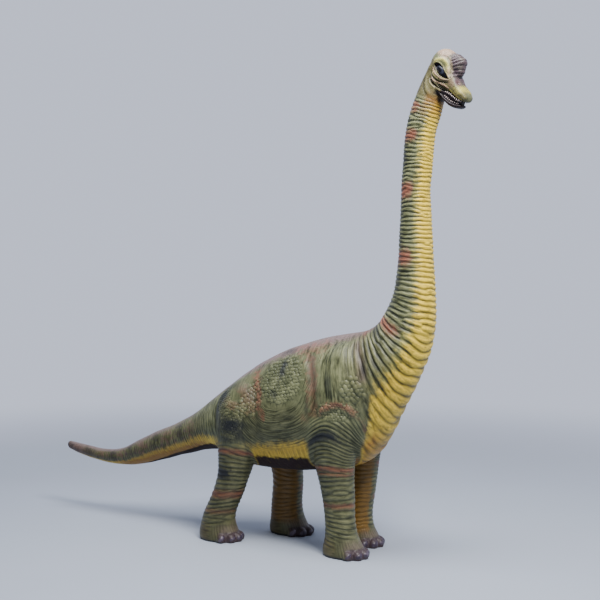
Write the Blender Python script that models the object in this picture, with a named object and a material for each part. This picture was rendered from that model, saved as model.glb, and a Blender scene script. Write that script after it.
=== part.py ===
"""Painted resin statue of a standing brachiosaur, 2 m tall.

Frame: +Z up, +X towards the head, +Y to the animal's left. The floor is at Z = 0, and the
origin is under the middle of the statue's bounding box. Lengths are in metres.
"""

import math

import bmesh
import bpy
import numpy as np
from mathutils import Matrix, Vector

GAP = 0.0003  # clearance that neighbouring pieces keep
SEED = 7

# The trunk runs from tail tip to skull. Each station gives the back line's point (x, z), the
# belly line's point (x, z), the half width, and how far the widest part sinks below the middle.
TRUNK = (
    ("tail tip", (-1.333, 0.329), (-1.331, 0.289), 0.018, 0.00),
    ("tail end", (-1.238, 0.317), (-1.244, 0.267), 0.024, 0.00),
    ("tail dip", (-1.082, 0.308), (-1.082, 0.245), 0.033, 0.00),
    ("tail bend", (-0.990, 0.329), (-0.968, 0.246), 0.044, 0.00),
    ("tail middle", (-0.872, 0.384), (-0.834, 0.270), 0.060, 0.00),
    ("tail swell", (-0.730, 0.444), (-0.686, 0.312), 0.074, 0.02),
    ("tail root", (-0.600, 0.504), (-0.548, 0.348), 0.094, 0.04),
    ("rump", (-0.480, 0.582), (-0.420, 0.362), 0.132, 0.08),
    ("hips", (-0.350, 0.677), (-0.295, 0.322), 0.170, 0.12),
    ("loins", (-0.200, 0.768), (-0.150, 0.308), 0.192, 0.14),
    ("belly", (-0.040, 0.834), (0.000, 0.312), 0.200, 0.14),
    ("withers", (0.110, 0.875), (0.150, 0.334), 0.196, 0.10),
    ("breast", (0.205, 0.890), (0.303, 0.394), 0.178, 0.06),
    ("chest", (0.268, 0.901), (0.410, 0.568), 0.153, 0.02),
    ("neck base", (0.320, 0.926), (0.497, 0.735), 0.124, 0.00),
    ("neck root", (0.356, 0.975), (0.549, 0.878), 0.104, 0.00),
    ("neck low", (0.388, 1.045), (0.558, 1.005), 0.089, 0.00),
    ("neck third", (0.407, 1.160), (0.551, 1.150), 0.075, 0.00),
    ("neck middle", (0.416, 1.310), (0.542, 1.310), 0.063, 0.00),
    ("neck slim", (0.422, 1.460), (0.537, 1.460), 0.057, 0.00),
    ("neck high", (0.430, 1.588), (0.546, 1.574), 0.057, 0.00),
    ("neck top", (0.442, 1.698), (0.559, 1.680), 0.057, 0.00),
    ("nape", (0.464, 1.779), (0.579, 1.747), 0.056, 0.00),
    ("throat", (0.490, 1.847), (0.593, 1.797), 0.053, 0.00),
    ("skull root", (0.527, 1.925), (0.624, 1.850), 0.043, 0.00),
)

# Each length of the trunk: node, first and last station, spacing of its skin folds at either
# end, their depth, and the number of sides.
LENGTHS = (
    ("tail_end", 0.0, 4.0, 0.040, 0.040, 0.0012, 10),
    ("tail_base", 4.0, 7.0, 0.036, 0.036, 0.0018, 14),
    ("torso", 7.0, 13.6, 0.080, 0.040, 0.0040, 24),
    ("neck_lower", 13.6, 17.0, 0.038, 0.034, 0.0040, 16),
    ("neck_upper", 17.0, 22.2, 0.032, 0.030, 0.0025, 14),
)
HEAD_STUB = (22.2, 24.0)

# Muscle masses on each side of the torso: centre (x, y, z) and radii.
MASSES = (
    ("shoulder", (0.215, 0.088, 0.665), (0.108, 0.104, 0.190)),
    ("haunch", (-0.252, 0.084, 0.550), (0.118, 0.100, 0.150)),
)

# A leg from the sole up: height, fore-and-aft radius and side radius.
FRONT_RADII = (
    (-0.012, 0.090, 0.064),
    (0.012, 0.094, 0.067),
    (0.036, 0.087, 0.066),
    (0.066, 0.073, 0.063),
    (0.105, 0.064, 0.061),
    (0.160, 0.062, 0.060),
    (0.225, 0.066, 0.062),
    (0.340, 0.079, 0.069),
    (0.467, 0.098, 0.080),
    (0.560, 0.108, 0.086),
    (0.640, 0.098, 0.078),
    (0.680, 0.086, 0.066),
)
HIND_RADII = (
    (-0.012, 0.094, 0.067),
    (0.012, 0.098, 0.070),
    (0.036, 0.091, 0.069),
    (0.066, 0.079, 0.067),
    (0.105, 0.071, 0.066),
    (0.170, 0.068, 0.064),
    (0.260, 0.069, 0.065),
    (0.347, 0.080, 0.072),
    (0.430, 0.096, 0.082),
    (0.530, 0.116, 0.088),
    (0.610, 0.116, 0.080),
    (0.680, 0.100, 0.066),
)

# Each leg: radii, side (+1 is the animal's left), and its axis as (height, x, y off the middle).
LEGS = {
    "front_right": (
        FRONT_RADII,
        -1,
        ((-0.012, 0.221, 0.100), (0.105, 0.199, 0.100), (0.225, 0.188, 0.100), (0.340, 0.176, 0.104),
         (0.467, 0.178, 0.111), (0.560, 0.191, 0.112), (0.680, 0.205, 0.094)),
    ),
    "front_left": (
        FRONT_RADII,
        1,
        ((-0.012, 0.194, 0.100), (0.105, 0.174, 0.100), (0.225, 0.184, 0.100), (0.340, 0.184, 0.104),
         (0.467, 0.186, 0.111), (0.560, 0.194, 0.112), (0.680, 0.205, 0.094)),
    ),
    "hind_right": (
        HIND_RADII,
        -1,
        ((-0.012, -0.365, 0.122), (0.105, -0.378, 0.120), (0.170, -0.349, 0.120), (0.260, -0.312, 0.120),
         (0.347, -0.290, 0.118), (0.430, -0.281, 0.116), (0.530, -0.270, 0.112), (0.680, -0.258, 0.088)),
    ),
    "hind_left": (
        HIND_RADII,
        1,
        ((-0.012, -0.160, 0.122), (0.105, -0.184, 0.120), (0.170, -0.182, 0.120), (0.260, -0.180, 0.120),
         (0.347, -0.205, 0.118), (0.430, -0.240, 0.116), (0.530, -0.258, 0.112), (0.680, -0.258, 0.088)),
    ),
}
LEG_SIDES = 12
LEG_FOLD = (0.036, 0.0030)  # spacing and depth
ANKLE = 0.105
LEG_KNEE = 0.357
LEG_TOP = 0.680
FOOT_SIDES = 14

# Toes stand along the front rim of each foot.
TOES = 5
TOE_SPREAD = math.radians(62)
TOE_RADII = (0.027, 0.0195, 0.025)
TOE_INSET = (0.015, 0.009)  # of their middles from the rim, fore and aft and to the side
TOE_HEIGHT = 0.013

# The head has its own frame: u forward, v to the animal's left, w up, from the jaw hinge.
HEAD_PLACE = Vector((0.5702, 0.0, 1.8775))
HEAD_PITCH = math.radians(40)
HEAD_TURN = math.radians(15)

# Forms of the head as ellipsoids: centre (u, v, w), radii.
HEAD_FORMS = (
    ("skull", (-0.012, 0.000, 0.068), (0.062, 0.045, 0.060)),
    ("nasal arch", (0.034, 0.000, 0.092), (0.046, 0.033, 0.040)),
    ("arch front", (0.057, 0.000, 0.108), (0.023, 0.026, 0.024)),
    ("forehead", (0.012, 0.000, 0.083), (0.050, 0.037, 0.034)),
    ("nape", (-0.028, 0.000, 0.032), (0.038, 0.042, 0.046)),
    ("cheeks", (0.002, 0.000, 0.022), (0.058, 0.047, 0.032)),
    ("right orbit", (0.020, -0.022, 0.052), (0.054, 0.0215, 0.034)),
    ("left orbit", (0.020, 0.022, 0.052), (0.054, 0.0215, 0.034)),
)
# The snout's and the lower jaw's cross-sections: u, top, bottom, half width.
SNOUT = (
    (0.010, 0.080, -0.003, 0.044),
    (0.050, 0.077, -0.006, 0.044),
    (0.080, 0.069, -0.003, 0.042),
    (0.100, 0.058, -0.002, 0.040),
    (0.120, 0.051, -0.003, 0.040),
    (0.145, 0.045, -0.003, 0.038),
    (0.162, 0.038, 0.001, 0.029),
    (0.172, 0.029, 0.006, 0.017),
    (0.175, 0.022, 0.011, 0.008),
)
JAW = (
    (-0.010, -0.010, -0.024, 0.028),
    (0.015, -0.009, -0.028, 0.040),
    (0.060, -0.014, -0.028, 0.040),
    (0.110, -0.017, -0.027, 0.036),
    (0.138, -0.017, -0.027, 0.032),
    (0.155, -0.016, -0.026, 0.024),
    (0.165, -0.017, -0.023, 0.013),
    (0.168, -0.019, -0.021, 0.006),
)
HEAD_SIDES = 14
# Each eye is an egg that lies along its lids.
EYE_PLACE = (0.021, 0.0272, 0.051)
EYE_RADII = (0.040, 0.021, 0.019)
EYE_SLOPE = math.radians(10)
# Lids, brows and lips as tapered tubes: points (u, v, w) on the left side, and the thickness.
RIDGES = (
    ("upper lid", ((-0.026, 0.038, 0.061), (-0.013, 0.0410, 0.072), (0.008, 0.0425, 0.0715), (0.040, 0.0415, 0.060),
                   (0.067, 0.0365, 0.046)), 0.0055),
    ("lower lid", ((-0.026, 0.038, 0.060), (-0.012, 0.0430, 0.041), (0.016, 0.0455, 0.030), (0.044, 0.0440, 0.030),
                   (0.070, 0.0385, 0.044)), 0.0048),
    ("brow", ((-0.034, 0.029, 0.076), (-0.018, 0.0290, 0.091), (0.006, 0.0290, 0.097), (0.032, 0.0310, 0.083),
              (0.066, 0.0310, 0.054)), 0.0105),
    ("lip", ((-0.004, 0.043, 0.001), (0.028, 0.0455, -0.005), (0.065, 0.0435, -0.002), (0.100, 0.0400, 0.000),
             (0.132, 0.0385, -0.001), (0.154, 0.0300, 0.003), (0.170, 0.0130, 0.009)), 0.0050),
)
NOSTRIL_PLACE = (0.091, 0.0160, 0.060)
NOSTRIL_RADII = (0.010, 0.006, 0.007)
TEETH_A_SIDE = 8
TOOTH_RADIUS = 0.0026
TOOTH_LENGTH = 0.0058
TEETH_FROM, TEETH_TO = 0.066, 0.160  # along u
TOOTH_INSET = 0.0055

MATERIALS = {
    "green skin": ((0.17, 0.20, 0.10), 0.50, 0.0),
    "purple crest": ((0.13, 0.09, 0.10), 0.50, 0.0),
    "mouth": ((0.035, 0.012, 0.020), 0.40, 0.0),
    "eye": ((0.010, 0.010, 0.013), 0.10, 0.0),
}


def material(name):
    colour, roughness, metallic = MATERIALS[name]
    found = bpy.data.materials.get(name)
    if found is None:
        found = bpy.data.materials.new(name)
        found.use_nodes = True
        shader = found.node_tree.nodes["Principled BSDF"]
        shader.inputs["Base Color"].default_value = (*colour, 1.0)
        shader.inputs["Roughness"].default_value = roughness
        shader.inputs["Metallic"].default_value = metallic
    return found


def smooth_through(knots, values, at):
    """Natural cubic spline through the stations, read at the given places."""
    knots = np.asarray(knots, float)
    values = np.asarray(values, float).reshape(len(knots), -1)
    step = np.diff(knots)
    slope = np.diff(values, axis=0) / step[:, None]
    count = len(knots)
    system = np.eye(count)
    right = np.zeros_like(values)
    for i in range(1, count - 1):
        system[i, i - 1 : i + 2] = step[i - 1], 2 * (step[i - 1] + step[i]), step[i]
        right[i] = 6 * (slope[i] - slope[i - 1])
    bend = np.linalg.solve(system, right)
    at = np.clip(np.asarray(at, float), knots[0], knots[-1])
    i = np.clip(np.searchsorted(knots, at, side="right") - 1, 0, count - 2)
    a = at - knots[i]
    h = step[i]
    first = slope[i] - h[:, None] * (2 * bend[i] + bend[i + 1]) / 6
    return (
        values[i]
        + first * a[:, None]
        + bend[i] * a[:, None] ** 2 / 2
        + (bend[i + 1] - bend[i]) * a[:, None] ** 3 / (6 * h[:, None])
    )


def trunk_sections(stations):
    """Back point, belly point, half width and low fullness at fractional station numbers."""
    rows = [(*back, *belly, width, low) for _, back, belly, width, low in TRUNK]
    middles = np.array([((b[0] + v[0]) / 2, (b[1] + v[1]) / 2) for _, b, v, _, _ in TRUNK])
    along = np.concatenate([[0], np.cumsum(np.linalg.norm(np.diff(middles, axis=0), axis=1))])
    places = np.interp(stations, np.arange(len(TRUNK)), along)
    found = smooth_through(along, rows, places)
    return found[:, 0:2], found[:, 2:4], found[:, 4], found[:, 5], places


def stations_every(first, last, spacing, spacing_last):
    """Fractional station numbers this far apart, with both ends."""
    fine = np.linspace(first, last, 600)
    places = trunk_sections(fine)[4]
    share = (places - places[0]) / (places[-1] - places[0])
    density = 1 / (spacing + (spacing_last - spacing) * share)
    counted = np.concatenate([[0], np.cumsum((density[1:] + density[:-1]) / 2 * np.diff(places))])
    count = max(2, round(counted[-1]))
    return np.interp(np.linspace(0, counted[-1], count + 1), counted, fine)


def trunk_ring(station, sides, swell=0.0, phase=0.0):
    """Points of one ring, from the back line round the animal's left side."""
    back, belly, width, low, _ = trunk_sections([station])
    middle = (back[0] + belly[0]) / 2
    up = (back[0] - belly[0]) / 2
    reach = np.linalg.norm(up)
    points = []
    for k in range(sides):
        a = 2 * math.pi * k / sides
        out = swell * (1 + 0.45 * math.sin(3 * a + phase)) * (1 - 0.3 * math.cos(a))
        rise = math.cos(a) * (1 + out / reach)
        side = math.sin(a) * (width[0] + out) * (1 - low[0] * math.cos(a))
        points.append(Vector((middle[0] + up[0] * rise, side, middle[1] + up[1] * rise)))
    return points


def mesh_from_rings(name, rings):
    """A closed body from rings of equal count, each end closed by a face."""
    bm = bmesh.new()
    made = [[bm.verts.new(p) for p in ring] for ring in rings]
    for one, two in zip(made, made[1:]):
        for k in range(len(one)):
            n = (k + 1) % len(one)
            bm.faces.new((one[k], one[n], two[n]))
            bm.faces.new((one[k], two[n], two[k]))
    for ring in (made[0], made[-1]):
        for k in range(1, len(ring) - 1):
            bm.faces.new((ring[0], ring[k], ring[k + 1]))
    bmesh.ops.recalc_face_normals(bm, faces=bm.faces[:])
    return object_from(name, bm)


def object_from(name, bm):
    mesh = bpy.data.meshes.new(name)
    bm.to_mesh(mesh)
    bm.free()
    obj = bpy.data.objects.new(name, mesh)
    bpy.context.scene.collection.objects.link(obj)
    return obj


def fold_swells(count, depth, draw):
    """Swell of each ring: rolls and creases take turns, with seeded variation."""
    swells = [depth * draw.uniform(0.65, 1.15) * (1 if k % 2 else -0.8) for k in range(count)]
    swells[0] = swells[-1] = 0.0
    return swells


def shift_station(station, along):
    """The fractional station number this many metres further along."""
    near = trunk_sections([station - 0.01, station + 0.01])[4]
    return station + along * 0.02 / (near[1] - near[0])


def trunk_length(name, first, last, spacing, spacing_last, depth, sides, draw):
    stations = stations_every(first, last, spacing / 2, spacing_last / 2)
    if first > 0:
        stations[0] = shift_station(first, GAP / 2)
    stations[-1] = shift_station(last, -GAP / 2)
    swells = fold_swells(len(stations), depth, draw)
    rings = [
        trunk_ring(s, sides, swell, draw.uniform(0, 2 * math.pi))
        for s, swell in zip(stations, swells)
    ]
    if first == 0:
        rings = blunt_end(rings)
    return mesh_from_rings(name, rings)


def blunt_end(rings):
    """Rounds off the first ring's end, as far out as the ring is wide."""
    centre = sum(rings[0], Vector()) / len(rings[0])
    after = sum(rings[1], Vector()) / len(rings[1])
    out = (centre - after).normalized()
    radius = (rings[0][0] - centre).length
    cap = []
    for turn in (78, 52, 26):
        a = math.radians(turn)
        cap.append([centre + (p - centre) * math.cos(a) + out * radius * math.sin(a) for p in rings[0]])
    return cap + rings


def leg_ring(leg, height, sides, swell=0.0, phase=0.0, grow=0.0):
    radii, side, axis = LEGS[leg]
    fore, wide = smooth_through([r[0] for r in radii], [r[1:] for r in radii], [height])[0]
    x, off = smooth_through([a[0] for a in axis], [a[1:] for a in axis], [height])[0]
    # The top closes in a dome inside the body.
    dome = LEG_TOP - height
    close = math.sqrt(max(0.0, 1 - (1 - min(1.0, dome / 0.075)) ** 2))
    points = []
    for k in range(sides):
        a = 2 * math.pi * k / sides
        out = swell * (1 + 0.45 * math.sin(2 * a + phase)) + grow
        points.append(
            Vector((
                x + (fore * close + out) * math.cos(a),
                side * off + (wide * close + out) * math.sin(a),
                height,
            ))
        )
    return points


def leg_heights():
    """Heights of a leg's rings: close where its folds show, and wider inside the body."""
    folds = round((LEG_KNEE - ANKLE) / (LEG_FOLD[0] / 2))
    shown = np.linspace(ANKLE, LEG_KNEE, folds + 1)
    above = np.linspace(LEG_KNEE, LEG_TOP - 0.045, 8)[1:]
    dome = [LEG_TOP - 0.022, LEG_TOP - 0.008, LEG_TOP - 0.002]
    return [*shown, *above, *dome]


def leg_shaft(leg, grow, draw):
    """The leg above the ankle. grow makes it a cutter that leaves the clearance round it."""
    heights = leg_heights()
    swells = fold_swells(len(heights), LEG_FOLD[1], draw)
    swells[-4:] = [0.0] * 4
    heights[0] += GAP / 2 - (0.02 if grow else 0)
    rings = [
        leg_ring(leg, h, LEG_SIDES, swell, draw.uniform(0, 2 * math.pi), grow)
        for h, swell in zip(heights, swells)
    ]
    for point in rings[-1]:
        point.z += grow
    return mesh_from_rings(f"leg_{leg}", rings)


def ellipsoid(name, centre, radii, segments=12, rings=8, turn=0.0):
    bm = bmesh.new()
    bmesh.ops.create_uvsphere(bm, u_segments=segments, v_segments=rings, radius=1.0)
    bmesh.ops.scale(bm, vec=radii, verts=bm.verts)
    bmesh.ops.rotate(bm, matrix=Matrix.Rotation(turn, 3, "Z"), verts=bm.verts)
    bmesh.ops.translate(bm, vec=centre, verts=bm.verts)
    return object_from(name, bm)


def foot(leg):
    """Foot below the ankle, with its toes along the front rim and a flat sole."""
    radii, side, axis = LEGS[leg]
    heights = [-0.012, 0.003, 0.014, 0.034, 0.060, 0.082, ANKLE - GAP / 2]
    base = mesh_from_rings(f"foot_{leg}", [leg_ring(leg, h, FOOT_SIDES) for h in heights])
    fore, wide = radii[1][1:]
    x, off = smooth_through([a[0] for a in axis], [a[1:] for a in axis], [TOE_HEIGHT])[0]
    toes = []
    for k in range(TOES):
        a = TOE_SPREAD * (2 * k / (TOES - 1) - 1)
        ahead = (fore - TOE_INSET[0]) * math.cos(a)
        aside = (wide - TOE_INSET[1]) * math.sin(a)
        toes.append(ellipsoid("toe", (x + ahead, side * off + aside, TOE_HEIGHT), TOE_RADII, 8, 5, a * 0.8))
    fuse(base, toes)
    bm = bmesh.new()
    bmesh.ops.create_cube(bm, size=1.0)
    bmesh.ops.scale(bm, vec=(0.5, 0.5, 0.1), verts=bm.verts)
    bmesh.ops.translate(bm, vec=(x, side * off, -0.05), verts=bm.verts)
    cut(base, [object_from("below floor", bm)])
    return base


def boolean(obj, others, operation, solver="MANIFOLD"):
    """One Boolean with a collection, applied, and the collection's objects removed."""
    group = bpy.data.collections.new("tools")
    bpy.context.scene.collection.children.link(group)
    for other in others:
        bpy.context.scene.collection.objects.unlink(other)
        group.objects.link(other)
    modifier = obj.modifiers.new("join", "BOOLEAN")
    modifier.operation = operation
    modifier.operand_type = "COLLECTION"
    modifier.collection = group
    modifier.solver = solver
    graph = bpy.context.evaluated_depsgraph_get()
    result = bpy.data.meshes.new_from_object(obj.evaluated_get(graph))
    obj.modifiers.clear()
    obj.data = result
    for other in others:
        bpy.data.objects.remove(other)
    bpy.data.collections.remove(group)
    keep_largest(obj)


def fuse(obj, others):
    boolean(obj, others, "UNION")


def cut(obj, others):
    boolean(obj, others, "DIFFERENCE")


def keep_largest(obj):
    """Drops loose scraps, and triangulates what stays."""
    bm = bmesh.new()
    bm.from_mesh(obj.data)
    bmesh.ops.remove_doubles(bm, verts=bm.verts, dist=0.00001)
    bmesh.ops.dissolve_degenerate(bm, dist=0.00001, edges=bm.edges)
    left = set(bm.faces)
    groups = []
    while left:
        todo = [left.pop()]
        group = []
        while todo:
            face = todo.pop()
            group.append(face)
            for edge in face.edges:
                for near in edge.link_faces:
                    if near in left:
                        left.discard(near)
                        todo.append(near)
        groups.append(group)
    groups.sort(key=lambda g: sum(f.calc_area() for f in g))
    scraps = [f for g in groups[:-1] for f in g]
    if scraps:
        bmesh.ops.delete(bm, geom=scraps, context="FACES")
        loose = [v for v in bm.verts if not v.link_faces]
        bmesh.ops.delete(bm, geom=loose, context="VERTS")
    bmesh.ops.triangulate(bm, faces=bm.faces[:])
    bm.to_mesh(obj.data)
    bm.free()


def head_matrix():
    turn = Matrix.Rotation(-HEAD_TURN, 4, "Z") @ Matrix.Rotation(HEAD_PITCH, 4, "Y")
    return Matrix.Translation(HEAD_PLACE) @ turn


def lofted_head_form(name, stations, sides, grow=0.0):
    """A form along the head's u axis from cross-sections with rounded corners."""
    fine = stations[0][0] + (stations[-1][0] - stations[0][0]) * np.sin(np.linspace(0, math.pi / 2, 11)) ** 0.9
    sizes = smooth_through([s[0] for s in stations], [s[1:] for s in stations], fine)
    rings = []
    for u, (top, bottom, half) in zip(fine, sizes):
        ring = []
        for k in range(sides):
            a = 2 * math.pi * k / sides
            rise = math.copysign(abs(math.cos(a)) ** 0.8, math.cos(a))
            side = math.copysign(abs(math.sin(a)) ** 0.8, math.sin(a))
            middle = (top + bottom) / 2
            ring.append(Vector((u, side * (half + grow), middle + rise * ((top - bottom) / 2 + grow))))
        rings.append(ring)
    return mesh_from_rings(name, rings)


def ridge(name, points, thickness, side):
    """A tapered tube through the points, for lids and brows."""
    last = 7
    path = smooth_through(range(len(points)), points, np.linspace(0, len(points) - 1, last + 1))
    path[:, 1] *= side
    rings = []
    for i, place in enumerate(path):
        ahead = Vector(path[min(i + 1, last)]) - Vector(path[max(i - 1, 0)])
        ahead.normalize()
        out = Vector((0, side, 0))
        out = (out - ahead * out.dot(ahead)).normalized()
        across = ahead.cross(out)
        radius = thickness * (0.35 + 0.65 * math.sin(math.pi * i / last))
        turns = [2 * math.pi * k / 5 for k in range(5)]
        rings.append([Vector(place) + radius * (out * math.cos(a) + across * math.sin(a)) for a in turns])
    return mesh_from_rings(name, rings)


def rim_point(stations, u, inset):
    """Half width of a jaw at u, less the inset, and its top and bottom."""
    top, bottom, half = smooth_through([s[0] for s in stations], [s[1:] for s in stations], [u])[0]
    return top, bottom, max(0.004, half - inset)


def teeth(stations, upper, shift):
    """Short cones along both sides of a jaw, rooted well inside it."""
    made = []
    for side in (-1, 1):
        for k in range(TEETH_A_SIDE):
            u = TEETH_FROM + (TEETH_TO - TEETH_FROM) * (k + shift) / TEETH_A_SIDE
            top, bottom, half = rim_point(stations, u, TOOTH_INSET)
            edge = bottom if upper else top
            root = edge + (0.010 if upper else -0.010)
            tip = edge - TOOTH_LENGTH if upper else edge + TOOTH_LENGTH
            bm = bmesh.new()
            bmesh.ops.create_cone(
                bm, cap_ends=True, segments=4, radius1=TOOTH_RADIUS, radius2=TOOTH_RADIUS * 0.3, depth=abs(tip - root)
            )
            if upper:
                bmesh.ops.rotate(bm, matrix=Matrix.Rotation(math.pi, 3, "X"), verts=bm.verts)
            bmesh.ops.translate(bm, vec=(u, side * half, (root + tip) / 2), verts=bm.verts)
            made.append(object_from("tooth", bm))
    return made


def place(obj, matrix):
    obj.data.transform(matrix)


def head():
    """Skull with snout, crest, brows, lids and upper teeth, on a stub of the neck."""
    stub_stations = stations_every(*HEAD_STUB, 0.024, 0.024)
    stub_stations[0] = shift_station(HEAD_STUB[0], GAP / 2)
    skull = mesh_from_rings("head", [trunk_ring(s, 14) for s in stub_stations])
    frame = head_matrix()
    forms = [ellipsoid(name, centre, radii, 14, 10) for name, centre, radii in HEAD_FORMS]
    forms.append(lofted_head_form("snout", SNOUT, HEAD_SIDES))
    for side in (-1, 1):
        forms += [ridge(name, points, thick, side) for name, points, thick in RIDGES]
        u, v, w = NOSTRIL_PLACE
        forms.append(ellipsoid("nostril rim", (u, side * v, w), NOSTRIL_RADII, 7, 5))
    forms += teeth(SNOUT, True, 0.25)
    for form in forms:
        place(form, frame)
    fuse(skull, forms)
    sockets = [eye_form("socket", side, GAP) for side in (-1, 1)]
    sockets.append(lofted_head_form("jaw space", JAW, HEAD_SIDES, grow=GAP))
    for tool in sockets:
        place(tool, frame)
    cut(skull, sockets)
    return skull


def eye_form(name, side, grow=0.0):
    u, v, w = EYE_PLACE
    eye = ellipsoid(name, (0, 0, 0), [r + grow for r in EYE_RADII], 14, 10)
    place(eye, Matrix.Translation((u, side * v, w)) @ Matrix.Rotation(EYE_SLOPE, 4, "Y"))
    return eye


def lower_jaw():
    jaw = lofted_head_form("lower_jaw", JAW, HEAD_SIDES)
    fuse(jaw, teeth(JAW, False, 0.75))
    place(jaw, head_matrix())
    return jaw


def eyes():
    made = []
    for name, side in (("eye_right", -1), ("eye_left", 1)):
        eye = eye_form(name, side)
        place(eye, head_matrix())
        made.append(eye)
    return made


def centre_on_floor(objects):
    """Moves everything so that the origin is under the middle of the bounding box."""
    corners = np.array([v.co for obj in objects for v in obj.data.vertices])
    low, high = corners.min(axis=0), corners.max(axis=0)
    move = Vector((-(low[0] + high[0]) / 2, -(low[1] + high[1]) / 2, -low[2]))
    for obj in objects:
        obj.data.transform(Matrix.Translation(move))
    print("moved by", tuple(round(c, 5) for c in move), "size", np.round(high - low, 4))


def finish(obj, material_name):
    obj.data.materials.clear()
    obj.data.materials.append(material(material_name))
    obj.data.shade_smooth()
    obj.data.set_sharp_from_angle(angle=math.radians(50))


def main():
    for obj in list(bpy.data.objects):
        bpy.data.objects.remove(obj)
    made = {}
    for name, first, last, near, far, depth, sides in LENGTHS:
        made[name] = trunk_length(name, first, last, near, far, depth, sides, np.random.default_rng(SEED))
    sides = [
        ellipsoid(name, (x, side * y, z), radii, 16, 12)
        for name, (x, y, z), radii in MASSES
        for side in (-1, 1)
    ]
    fuse(made["torso"], sides)
    cutters = [leg_shaft(leg, GAP, np.random.default_rng(SEED + i)) for i, leg in enumerate(LEGS)]
    cut(made["torso"], cutters)
    for i, leg in enumerate(LEGS):
        made[f"leg_{leg}"] = leg_shaft(leg, 0.0, np.random.default_rng(SEED + i))
        made[f"foot_{leg}"] = foot(leg)
    made["head"] = head()
    made["lower_jaw"] = lower_jaw()
    for eye in eyes():
        made[eye.name] = eye
    centre_on_floor(made.values())
    for name, obj in made.items():
        obj.name = name
        kind = "eye" if name.startswith("eye") else "mouth" if name == "lower_jaw" else "green skin"
        finish(obj, kind)
        print(name, len(obj.data.loop_triangles), "triangles")


main()
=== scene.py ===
import math
import time

import bmesh
import bpy
import numpy as np
from mathutils import Matrix, Vector
from mathutils.bvhtree import BVHTree


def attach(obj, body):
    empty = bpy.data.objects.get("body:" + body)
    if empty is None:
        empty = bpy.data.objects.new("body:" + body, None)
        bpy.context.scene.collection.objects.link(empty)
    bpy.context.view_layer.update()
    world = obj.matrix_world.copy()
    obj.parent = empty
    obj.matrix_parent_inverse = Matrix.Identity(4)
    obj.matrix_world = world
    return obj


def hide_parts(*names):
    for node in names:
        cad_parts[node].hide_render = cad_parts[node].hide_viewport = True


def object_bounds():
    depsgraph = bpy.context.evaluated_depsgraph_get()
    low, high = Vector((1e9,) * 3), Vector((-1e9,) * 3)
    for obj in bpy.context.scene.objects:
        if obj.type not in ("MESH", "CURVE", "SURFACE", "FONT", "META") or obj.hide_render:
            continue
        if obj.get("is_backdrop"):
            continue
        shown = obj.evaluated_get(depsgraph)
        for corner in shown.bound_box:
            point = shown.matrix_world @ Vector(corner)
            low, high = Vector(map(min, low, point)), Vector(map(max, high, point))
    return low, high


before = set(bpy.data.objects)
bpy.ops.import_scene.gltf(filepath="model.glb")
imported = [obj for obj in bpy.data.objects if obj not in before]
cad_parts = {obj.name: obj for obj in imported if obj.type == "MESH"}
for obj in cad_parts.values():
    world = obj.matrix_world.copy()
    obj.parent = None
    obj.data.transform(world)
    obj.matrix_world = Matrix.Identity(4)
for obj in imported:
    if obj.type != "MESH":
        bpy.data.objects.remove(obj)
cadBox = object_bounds()
begun = time.time()


def say(*words):
    print(f"{time.time() - begun:6.1f} s ", *words)


say("frame loaded:", len(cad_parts), "nodes")

# The statue's forms, in metres. Stations are written from the middle of the body,
# and forward moves them into the frame.
statue = {
    "forward": 0.31647,
    "side": 0.00008,
    "skinGrid": 0.0032,       # spacing of the skin's points on the body
    "headGrid": 0.0015,       # and on the head
    "skinRounds": 10,         # how often the body's skin is evened out
    "headRounds": 9,          # and the head's
    "bodyStations": (0, 23.5),     # the trunk in the body's skin
    "headStations": (20.4, 24.0),  # and in the head's
    "trunkSides": 72,
    "legSides": 56,
    "eggSides": (56, 40),     # round and in rows, of the muscles and the skull's forms
    "ringStep": 0.075,        # in stations
    "legClose": 0.075,        # height over which a leg's top closes
}

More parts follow.
